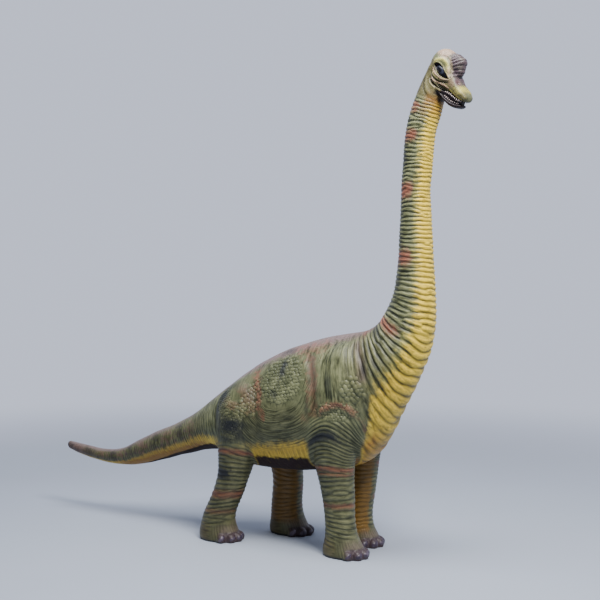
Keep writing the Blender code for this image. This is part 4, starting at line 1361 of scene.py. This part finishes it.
skinFinish = {
    "strands": ((2.0, 0.30, 0.65), (4.6, 0.55, 0.35)),   # fineness across and along the folds, share
    "blotches": 16,           # to a metre, as the next three
    "specks": 170,
    "grime": 48,
    "pores": 230,
    "strandWash": (0.38, 0.38, 0.32),
    "grimeWash": (0.60, 0.60, 0.54),
    "washes": {"crease": 0.94, "strand": 0.75, "ridge": 0.70, "grime": 0.40},
    "roughness": (0.20, 0.34),            # by the specks, and the least
    "underRoughness": 0.35,               # added on the dark underside
    "specular": 0.32,
    "bump": 0.9,
    "bumpDepth": 0.0011,
}


def paintedSkin():
    material, tree, shader, coords = newMaterial("paintedSkin")

    def mask(name, output="Fac"):
        return addNode(tree, "ShaderNodeAttribute", attribute_name=name).outputs[output]

    def wash(colour, factor, kind, tint):
        share = maths(tree, "MULTIPLY", factor, skinFinish["washes"][kind])
        return mixColours(tree, share, colour, tint, "MULTIPLY")

    # strands of the brush run along the folds
    grain = mask("grain", "Vector")
    strands = []
    for across, along, share in skinFinish["strands"]:
        stretch = {0: grain, 1: (across, along, along)}
        stretched = addNode(tree, "ShaderNodeVectorMath", stretch, operation="MULTIPLY").outputs[0]
        fibres = noiseOn(tree, stretched, 1.0, 2.5, 0.55)
        strands.append(maths(tree, "MULTIPLY", fibres, share))
    strand = maths(tree, "SUBTRACT", maths(tree, "ADD", *strands), 0.5)
    strand = maths(tree, "MULTIPLY", strand, mask("firm"))

    # the olive ground
    ridge = mask("ridge")
    blotches = noiseOn(tree, coords, skinFinish["blotches"], 4, 0.6)
    specks = noiseOn(tree, coords, skinFinish["specks"], 3, 0.6)
    light = maths(tree, "MULTIPLY_ADD", blotches, 0.9, -0.36)
    light = maths(tree, "MULTIPLY_ADD", ridge, 0.62, light)
    light = ramp(tree, maths(tree, "MULTIPLY_ADD", strand, 1.6, light), 0.02, 0.85)
    colour = mixColours(tree, light, paints["oliveDark"], paints["oliveLight"])

    # the paints over it, broken up by specks and strands
    spread = maths(tree, "MULTIPLY_ADD", specks, 0.5, -0.25)
    spread = maths(tree, "MULTIPLY_ADD", strand, 1.5, spread)
    for name in paintOrder:
        there = mask(name)
        broken = maths(tree, "MULTIPLY_ADD", spread, there, there)
        colour = mixColours(tree, ramp(tree, broken, 0.06, 0.94), colour, paints[name])

    # painted shade where less light falls, painted shade and a dark wash in the creases, a wash between the
    # strands, wear on the ridges, and grime
    colour = mixColours(tree, mask("shade"), colour, paints["shadeWash"], "MULTIPLY")
    colour = wash(colour, mask("crease"), "crease", paints["creaseWashAndShade"])
    colour = wash(colour, ramp(tree, strand, 0.02, -0.16), "strand", skinFinish["strandWash"])
    top = maths(tree, "MULTIPLY", ramp(tree, ridge, 0.35, 1.0), ramp(tree, specks, 0.18, 0.58))
    colour = wash(colour, top, "ridge", paints["ridgeWash"])
    grime = ramp(tree, noiseOn(tree, coords, skinFinish["grime"], 5, 0.65), 0.35, 0.75)
    colour = wash(colour, grime, "grime", skinFinish["grimeWash"])
    rough = maths(tree, "MULTIPLY_ADD", specks, *skinFinish["roughness"])
    rough = maths(tree, "MULTIPLY_ADD", mask("under"), skinFinish["underRoughness"], rough)

    # pores and strands as a fine relief
    grid = {"Vector": coords, "Scale": skinFinish["pores"]}
    cells = addNode(tree, "ShaderNodeTexVoronoi", grid, feature="DISTANCE_TO_EDGE")
    pores = maths(tree, "MULTIPLY", ramp(tree, cells.outputs["Distance"], 0.0, 0.22), 0.07)
    relief = maths(tree, "MULTIPLY_ADD", strand, 3.2, pores)
    feed(tree, shader, {
        "Base Color": colour,
        "Roughness": rough,
        "Specular IOR Level": skinFinish["specular"],
        "Normal": bumpFrom(tree, relief, skinFinish["bump"], skinFinish["bumpDepth"]),
    })
    return material


skinMaterial = paintedSkin()

skinCuts = {
    "legHeight": 0.300,
    "legStation": 6.6,        # before which nothing is a leg
    "neckStation": 14.2,
    "neckHeight": 0.75,
    "tailStation": 7.0,
}
station = body["place"]["trunk"]["station"]
quadStation = station[body["quads"]].mean(axis=1)
quadX, _, quadHeight = body["points"][body["quads"]].mean(axis=1).T
trunkCut = statue["forward"]
legCut = trunkCut - 0.05
isLeg = (quadHeight < skinCuts["legHeight"]) & (quadStation > skinCuts["legStation"])
isNeck = (quadStation >= skinCuts["neckStation"]) & ~isLeg & (quadHeight > skinCuts["neckHeight"])
isTail = (quadStation < skinCuts["tailStation"]) & ~isLeg
isTrunk = ~isLeg & ~isNeck & ~isTail
skinParts = {
    "skin_neck": isNeck & (quadStation <= head["cutStation"]),
    "skin_shoulders": isTrunk & (quadX > trunkCut),
    "skin_hips": isTrunk & (quadX <= trunkCut),
    "skin_tail": isTail,
    "skin_legs_front": isLeg & (quadX > legCut),
    "skin_legs_hind": isLeg & (quadX <= legCut),
}
pieces = {name: skinPiece(name, body, chosen, skinMaterial) for name, chosen in skinParts.items()}
skullStation = skull["place"]["trunk"]["station"][skull["quads"]].mean(axis=1)
pieces["skin_head"] = skinPiece("skin_head", skull, skullStation > head["cutStation"] - 0.01, skinMaterial)
say("skin pieces made")

# What repeats: scales, teeth and toe nails, each set on points by Geometry Nodes


def setTree(name, shape):
    # a pebble or a peg on every point, by its facing, roll and size
    tree = bpy.data.node_groups.new(name, "GeometryNodeTree")
    for way in ("OUTPUT", "INPUT"):
        tree.interface.new_socket("Geometry", in_out=way, socket_type="NodeSocketGeometry")
    for label, kind in (("Sides", "Int"), ("Rings", "Int"), ("Tip", "Float"), ("Size spread", "Float"),
                        ("Seed", "Int"), ("Finish", "Material")):
        tree.interface.new_socket(label, in_out="INPUT", socket_type="NodeSocket" + kind)
    given = addNode(tree, "NodeGroupInput").outputs

    def attribute(label, kind):
        named = addNode(tree, "GeometryNodeInputNamedAttribute", {"Name": label}, data_type=kind)
        return named.outputs["Attribute"]

    if shape == "pebble":
        form = addNode(tree, "GeometryNodeMeshUVSphere",
                       {"Segments": given["Sides"], "Rings": given["Rings"], "Radius": 1.0})
    else:
        form = addNode(tree, "GeometryNodeMeshCone", {
            "Vertices": given["Sides"], "Side Segments": given["Rings"],
            "Radius Top": given["Tip"], "Radius Bottom": 1.0, "Depth": 1.0})
    face = addNode(tree, "FunctionNodeAlignRotationToVector",
                   {"Vector": attribute("facing", "FLOAT_VECTOR")}, axis="Z")
    roll = addNode(tree, "ShaderNodeCombineXYZ", {"Z": attribute("roll", "FLOAT")})
    turn = addNode(tree, "FunctionNodeRotateRotation",
                   {"Rotation": face.outputs[0], "Rotate By": roll.outputs[0]}, rotation_space="LOCAL")
    smallest, largest = [maths(tree, way, 1.0, given["Size spread"]) for way in ("SUBTRACT", "ADD")]
    chance = addNode(tree, "FunctionNodeRandomValue",
                     {"Seed": given["Seed"], 2: smallest, 3: largest}, data_type="FLOAT")
    size = addNode(tree, "ShaderNodeVectorMath",
                   {0: attribute("size", "FLOAT_VECTOR"), "Scale": chance.outputs[1]}, operation="SCALE")
    spots = addNode(tree, "GeometryNodeInstanceOnPoints", {
        "Points": given["Geometry"], "Instance": form.outputs["Mesh"],
        "Rotation": turn.outputs[0], "Scale": size.outputs[0]})
    real = addNode(tree, "GeometryNodeRealizeInstances", {0: spots.outputs[0]})
    finish = addNode(tree, "GeometryNodeSetMaterial",
                     {"Geometry": real.outputs[0], "Material": given["Finish"]})
    addNode(tree, "NodeGroupOutput", {0: finish.outputs[0]})
    return tree


def setOnPoints(name, places, facings, sizes, turns, shape, settings, material):
    mesh = meshOf(name + "Points", places, [])
    storeOn(mesh, {"facing": facings, "size": sizes, "roll": turns})
    holder = addObject(name + "Points", mesh)
    tree = setTree(name, shape)
    modifier = holder.modifiers.new(name, "NODES")
    modifier.node_group = tree
    given = {**settings, "Finish": material}
    for item in tree.interface.items_tree:
        if item.in_out == "INPUT" and item.name in given:
            modifier[item.identifier] = given[item.name]
    graph = bpy.context.evaluated_depsgraph_get()
    made = bpy.data.meshes.new_from_object(holder.evaluated_get(graph))
    bpy.data.objects.remove(holder)
    for label in ("facing", "size", "roll"):
        if label in made.attributes:
            made.attributes.remove(made.attributes[label])
    made.shade_smooth()
    made.name = name
    say(name, len(places), "set")
    return addObject(name, made)


scales = {
    "Sides": 9,
    "Rings": 5,
    "Size spread": 0.12,
    "Seed": 5,
    "spread": 0.13,           # how far off an even lattice, in spacings
    "reach": 0.80,            # radius in spacings
    "height": 0.38,           # in radii
    "sink": 0.52,             # of the height
    "tone": 0.07,             # how the paint's lightness differs from scale to scale
    "backSpacing": 0.0100,
    "backStations": (8.7, 12.9),
    "backAngle": 0.60,
    # painted shade round each scale's rim
    "crease": 0.22,           # the paint's darkness round each
    "light": (0.31, 0.27),    # its lightness, and how much more on top
}
rowHeight = 0.866             # of a lattice of even triangles, in spacings


def scalePlaces():
    rng = np.random.default_rng(8)
    tree = BVHTree.FromPolygons(body["smooth"].tolist(), body["quads"].tolist())
    found = []
    for order, (field, ((cx, cz), (rx, rz), tilt, spacing)) in enumerate(scaleFields.items()):
        earlier = list(scaleFields)[:order]
        t = math.radians(tilt)
        rows = int(rz * 1.3 / (spacing * rowHeight)) + 1
        columns = int(rx * 1.3 / spacing) + 1
        for side in (-1, 1):
            for j in range(-rows, rows + 1):
                for i in range(-columns, columns + 1):
                    a = (i + 0.5 * (j % 2)) * spacing + rng.normal() * spacing * scales["spread"]
                    b = j * spacing * rowHeight + rng.normal() * spacing * scales["spread"]
                    x = cx + a * math.cos(t) - b * math.sin(t)
                    z = cz + a * math.sin(t) + b * math.cos(t)
                    if fieldShare(x, z, field) < rng.uniform(0.10, 0.75):
                        continue
                    if any(fieldShare(x, z, other) > 0.5 for other in earlier):
                        continue
                    place, normal, _, _ = tree.ray_cast(Vector((x, side * 0.5, z)), Vector((0, -side, 0)))
                    if place is not None and abs(place.y) > 0.03:
                        found.append((place, normal, spacing))
    # small ones along the back
    first, last = np.interp(scales["backStations"], fineStations, fineTrunk["along"])
    spacing = scales["backSpacing"]
    for j, along in enumerate(np.arange(first, last, spacing * rowHeight)):
        station = np.interp(along, fineTrunk["along"], fineStations)
        table = trunkAt([station])
        width = table["width"][0]
        count = int(scales["backAngle"] * width / spacing)
        for i in range(-count, count + 1):
            a = (i + 0.5 * (j % 2) + rng.normal() * scales["spread"]) * spacing / width
            if abs(a) > scales["backAngle"] * (0.75 + 0.25 * math.sin(j * 0.7)):
                continue
            x, z = table["middle"][0] + table["up"][0] * math.cos(a)
            place, normal, _, _ = tree.find_nearest(Vector((x, width * math.sin(a), z)))
            found.append((place, normal, spacing))
    return found


def hideScales():
    found = scalePlaces()
    rng = np.random.default_rng(21)
    normals = np.array([tuple(n) for _, n, _ in found])
    radius = np.array([s for _, _, s in found]) * scales["reach"]
    height = radius * scales["height"]
    places = np.array([tuple(p) for p, _, _ in found])
    places -= normals * (height * scales["sink"] + 0.0010)[:, None]
    sizes = np.stack([radius, radius * rng.uniform(0.78, 0.98, len(found)), height], axis=1)
    turns = rng.uniform(0, 6.28, len(found))
    piece = setOnPoints("hide_scales", places, normals, sizes, turns, "pebble", scales, skinMaterial)
    points = np.zeros(len(piece.data.vertices) * 3)
    piece.data.vertices.foreach_get("co", points)
    points = points.reshape(-1, 3)
    each = len(points) // len(found)
    owner = np.repeat(np.arange(len(found)), each)
    raised = ((points - places[owner]) * normals[owner]).sum(axis=1) / sizes[owner, 2]
    masks = paintMasks(bodyPlaces(points))
    # painted shade at each scale's rim, where it meets the skin
    masks["crease"] = smoothStep(0.84, 0.58, raised) * scales["crease"]
    tone = rng.normal(0, scales["tone"], len(found))
    least, more = scales["light"]
    # and the painted highlight on the shoulders
    masks["ridge"] = least + smoothStep(0.55, 1.0, raised) * more + tone[owner] + paintedShoulderHighlight(points)
    masks["firm"] = np.zeros(len(points))
    storeOn(piece.data, masks)
    return piece


teeth = {
    "Sides": 8,
    "Rings": 2,
    "Tip": 0.42,
    "Size spread": 0.10,
    "Seed": 3,
    "spacing": 0.0086,
    "radius": 0.0026,
    "length": 0.0062,
    "from": 0.083,
    "inset": 0.0042,
    "tuck": 0.0095,           # how far the front ones stand back
    "least": 0.017,           # and how near the middle they come
    "proud": 0.0012,          # how far a tooth's middle is off the jaw's edge
    "lean": (0.10, 0.22),     # forward and outward
    "colours": ((0.26, 0.19, 0.18), (0.52, 0.45, 0.43)),
    "roughness": 0.30,
}


def rimPlaces(stations, upper):
    # even steps along the rim of a jaw, round its front
    fine = np.linspace(teeth["from"], stations[-1][0] - 0.006, 300)
    sizes = splineRows(stations, fine)
    half = (sizes[:, 2] - teeth["inset"]).clip(0.003)
    edge = sizes[:, 1] if upper else sizes[:, 0]
    travel = np.concatenate([[0], np.cumsum(np.hypot(np.diff(fine), np.diff(half)))])
    steps = np.arange(0.5 if upper else 1.0, travel[-1] / teeth["spacing"]) * teeth["spacing"]
    rows = []
    for side in (-1, 1):
        for step in steps:
            u = np.interp(step, travel, fine) - 0.0035
            u -= teeth["tuck"] * smoothStep(0.145, 0.166, u)
            out = np.interp(step, travel, half)
            if out > teeth["least"]:
                rows.append((u, side * out, np.interp(u, fine, edge)))
    return np.array(rows)


def toothFinish():
    material, tree, shader, coords = newMaterial("toothEnamel")
    colour = mixColours(tree, noiseOn(tree, coords, 260, 3), *teeth["colours"])
    feed(tree, shader, {"Base Color": colour, "Roughness": teeth["roughness"]})
    return material


def jawTeeth():
    upper = rimPlaces(snoutStations, True)
    lower = rimPlaces(jawStations, False)
    upper[:, 2] += teeth["proud"]
    lower[:, 2] -= teeth["proud"]
    places = np.concatenate([upper, lower])
    down = np.repeat((-1.0, 1.0), (len(upper), len(lower)))
    ahead, aside = teeth["lean"]
    facing = np.stack([np.full(len(down), ahead), places[:, 1] / 0.040 * aside, down], axis=1)
    facing = facing @ fromHead[:3, :3].T
    size = np.tile((teeth["radius"], teeth["radius"], teeth["length"]), (len(down), 1))
    turns = np.zeros(len(down))
    return setOnPoints("jaw_teeth", moved(places, fromHead), facing, size, turns, "peg", teeth, toothFinish())


nails = {
    "Sides": 20,
    "Rings": 12,
    "Size spread": 0.06,
    "Seed": 2,
    "ahead": 0.0130,
    "height": 0.0165,
    "radii": (0.0132, 0.0178, 0.0140),
    "rise": 0.30,             # how far they face up
    "colours": ((0.026, 0.016, 0.034), (0.085, 0.062, 0.092)),
    "roughness": 0.42,
    "bump": 0.4,
    "bumpDepth": 0.0008,
}


def nailFinish():
    material, tree, shader, coords = newMaterial("nailPaint")
    wear = ramp(tree, noiseOn(tree, coords, 70, 4), 0.35, 0.68)
    feed(tree, shader, {
        "Base Color": mixColours(tree, wear, *nails["colours"]),
        "Roughness": nails["roughness"],
        "Normal": bumpFrom(tree, noiseOn(tree, coords, 320, 3), nails["bump"], nails["bumpDepth"]),
    })
    return material


def toeNails():
    places, facings = [], []
    for leg in legs:
        for place, turn in toePlaces(leg):
            ahead = Vector((math.cos(turn), math.sin(turn), 0))
            spot = place + ahead * nails["ahead"]
            places.append((spot.x, spot.y, nails["height"]))
            facings.append((ahead.x, ahead.y, nails["rise"]))
    ahead, side, up = nails["radii"]
    sizes = np.tile((up, side, ahead), (len(places), 1))
    turns = np.zeros(len(places))
    return setOnPoints("toe_nails", np.array(places), facings, sizes, turns, "pebble", nails, nailFinish())


for name, make, slot in (("hide_scales", hideScales, "painted_skin"), ("jaw_teeth", jawTeeth, "teeth"),
                         ("toe_nails", toeNails, "toe_nails")):
    pieces[name] = make()
    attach(pieces[name], "root")

# Eyes


eyeFinish = {
    "ball": (0.006, 0.006, 0.009),
    "iris": ((0.010, 0.012, 0.024), (0.030, 0.032, 0.052)),
    "irisMiddle": (-0.010, 0.001),
    "irisRadii": (0.026, 0.0135),
    "roughness": 0.13,
    "specular": 0.13,
}


def eyeMaterial():
    material, tree, shader, coords = newMaterial("eyeGloss")
    mask = addNode(tree, "ShaderNodeAttribute", attribute_name="iris").outputs["Fac"]
    iris = mixColours(tree, noiseOn(tree, coords, 90, 2), *eyeFinish["iris"])
    feed(tree, shader, {
        "Base Color": mixColours(tree, mask, eyeFinish["ball"], iris),
        "Roughness": eyeFinish["roughness"],
        "Specular IOR Level": eyeFinish["specular"],
    })
    return material


def eyePiece(side, material):
    points, faces = eggGrid((0, 0, 0), eye["radii"], 0, 64, 44)
    local = points.copy()
    cos, sin = math.cos(eye["slope"]), math.sin(eye["slope"])
    points = points @ np.array([[cos, 0, -sin], [0, 1, 0], [sin, 0, cos]])
    u, v, w = eye["place"]
    points = moved(points + (u, side * v, w), fromHead)
    name = "eye_dark_left" if side > 0 else "eye_dark_right"
    mesh = meshOf(name, points, faces)
    offset = (local[:, [0, 2]] - eyeFinish["irisMiddle"]) / eyeFinish["irisRadii"]
    storeOn(mesh, {"iris": between(np.hypot(*offset.T), 0.45, 0.62, 0.85, 1.0)})
    mesh.shade_smooth()
    mesh.materials.append(material)
    return addObject(name, mesh)


eyeGloss = eyeMaterial()
for side, node in ((-1, "eye_right"), (1, "eye_left")):
    piece = eyePiece(side, eyeGloss)
    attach(piece, "root")
    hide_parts(node)
say("eyes made")

# Riding and replacing

replaced = {
    "skin_neck": ("neck_lower", "neck_upper"),
    "skin_shoulders": ("torso",),
    "skin_hips": ("torso",),
    "skin_tail": ("tail_base", "tail_end"),
    "skin_legs_front": ("leg_front_right", "leg_front_left", "foot_front_right", "foot_front_left"),
    "skin_legs_hind": ("leg_hind_right", "leg_hind_left", "foot_hind_right", "foot_hind_left"),
    "skin_head": ("head", "lower_jaw"),
}
for name, nodes in replaced.items():
    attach(pieces[name], "root")
    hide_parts(*nodes)

# Floor, light and camera

studio = {
    "floorRadius": 40.0,
    "floorSides": 96,
    "floorColour": (0.36, 0.40, 0.48),
    "floorShade": 0.93,                   # of its colour, in its darker clouds
    "floorRoughness": 0.75,
    "floorFade": (1.4, 5.5),              # from the floor to the surrounding light, metres out
    "backColour": (0.72, 0.78, 0.96),     # behind the statue
    "frontColour": (0.20, 0.215, 0.25),   # on the camera's side
    "turn": (-0.35, 0.45),                # from one to the other, by the way along Y
    "cameraPlace": (2.37347, -3.64792, 1.086),
    "cameraWay": (-0.5, 0.866, -math.tan(math.radians(0.86))),
    "lens": 60,
}
# place, target, size, power, colour
lights = {
    "key": ((2.3, -1.5, 3.7), (0.5, 0, 1.2), (1.1, 1.1), 215, (1.0, 0.98, 0.93)),
    "top": ((0.5, -0.7, 4.0), (0.2, 0, 0.9), (2.0, 1.6), 150, (0.98, 0.99, 1.0)),
}


def surround(tree, way):
    # pale behind the statue, darker on the camera's side
    apart = addNode(tree, "ShaderNodeSeparateXYZ", {0: way})
    behind = ramp(tree, apart.outputs["Y"], *studio["turn"])
    return mixColours(tree, behind, studio["frontColour"], studio["backColour"])


def makeFloor():
    sides = studio["floorSides"]
    turns = np.linspace(0, 2 * math.pi, sides, endpoint=False)
    rim = np.stack([np.cos(turns), np.sin(turns), np.zeros(sides)], axis=1) * studio["floorRadius"]
    mesh = meshOf("floor", rim, [tuple(range(sides))])
    material, tree, shader, coords = newMaterial("paleFloor")
    pale = tuple(c * studio["floorShade"] for c in studio["floorColour"])
    colour = mixColours(tree, noiseOn(tree, coords, 1.5, 5), pale, studio["floorColour"])
    feed(tree, shader, {"Base Color": colour, "Roughness": studio["floorRoughness"]})
    reach = addNode(tree, "ShaderNodeVectorMath", {0: coords}, operation="LENGTH").outputs["Value"]
    flat = addNode(tree, "ShaderNodeVectorMath", {0: coords}, operation="NORMALIZE").outputs[0]
    glow = addNode(tree, "ShaderNodeEmission", {"Color": surround(tree, flat)}).outputs[0]
    far = ramp(tree, reach, *studio["floorFade"])
    fade = addNode(tree, "ShaderNodeMixShader", {0: far, 1: shader.outputs[0], 2: glow})
    feed(tree, tree.nodes["Material Output"], {0: fade.outputs[0]})
    mesh.materials.append(material)
    addObject("floor", mesh)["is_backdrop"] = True


def aimed(name, data, place, way):
    obj = addObject(name, data)
    obj.location = place
    obj.rotation_euler = Vector(way).to_track_quat("-Z", "Y").to_euler()
    return obj


def makeStudio():
    makeFloor()
    world = bpy.data.worlds.new("studio")
    world.use_nodes = True
    tree = world.node_tree
    sky = surround(tree, addNode(tree, "ShaderNodeTexCoord").outputs["Generated"])
    feed(tree, tree.nodes["Background"], {0: sky})
    bpy.context.scene.world = world
    for name, (place, target, size, power, colour) in lights.items():
        lamp = bpy.data.lights.new(name, "AREA")
        lamp.shape = "RECTANGLE"
        lamp.size, lamp.size_y = size
        lamp.energy = power
        lamp.color = colour
        aimed(name, lamp, place, Vector(target) - Vector(place))
    camera = bpy.data.cameras.new("camera")
    camera.lens = studio["lens"]
    camera.sensor_width = 36
    holder = aimed("camera", camera, studio["cameraPlace"], studio["cameraWay"])
    bpy.context.scene.camera = holder


makeStudio()
say("studio made")

size = {"cad": [list(c) for c in cadBox], "visual": [list(c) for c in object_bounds()]}
say("size", size)
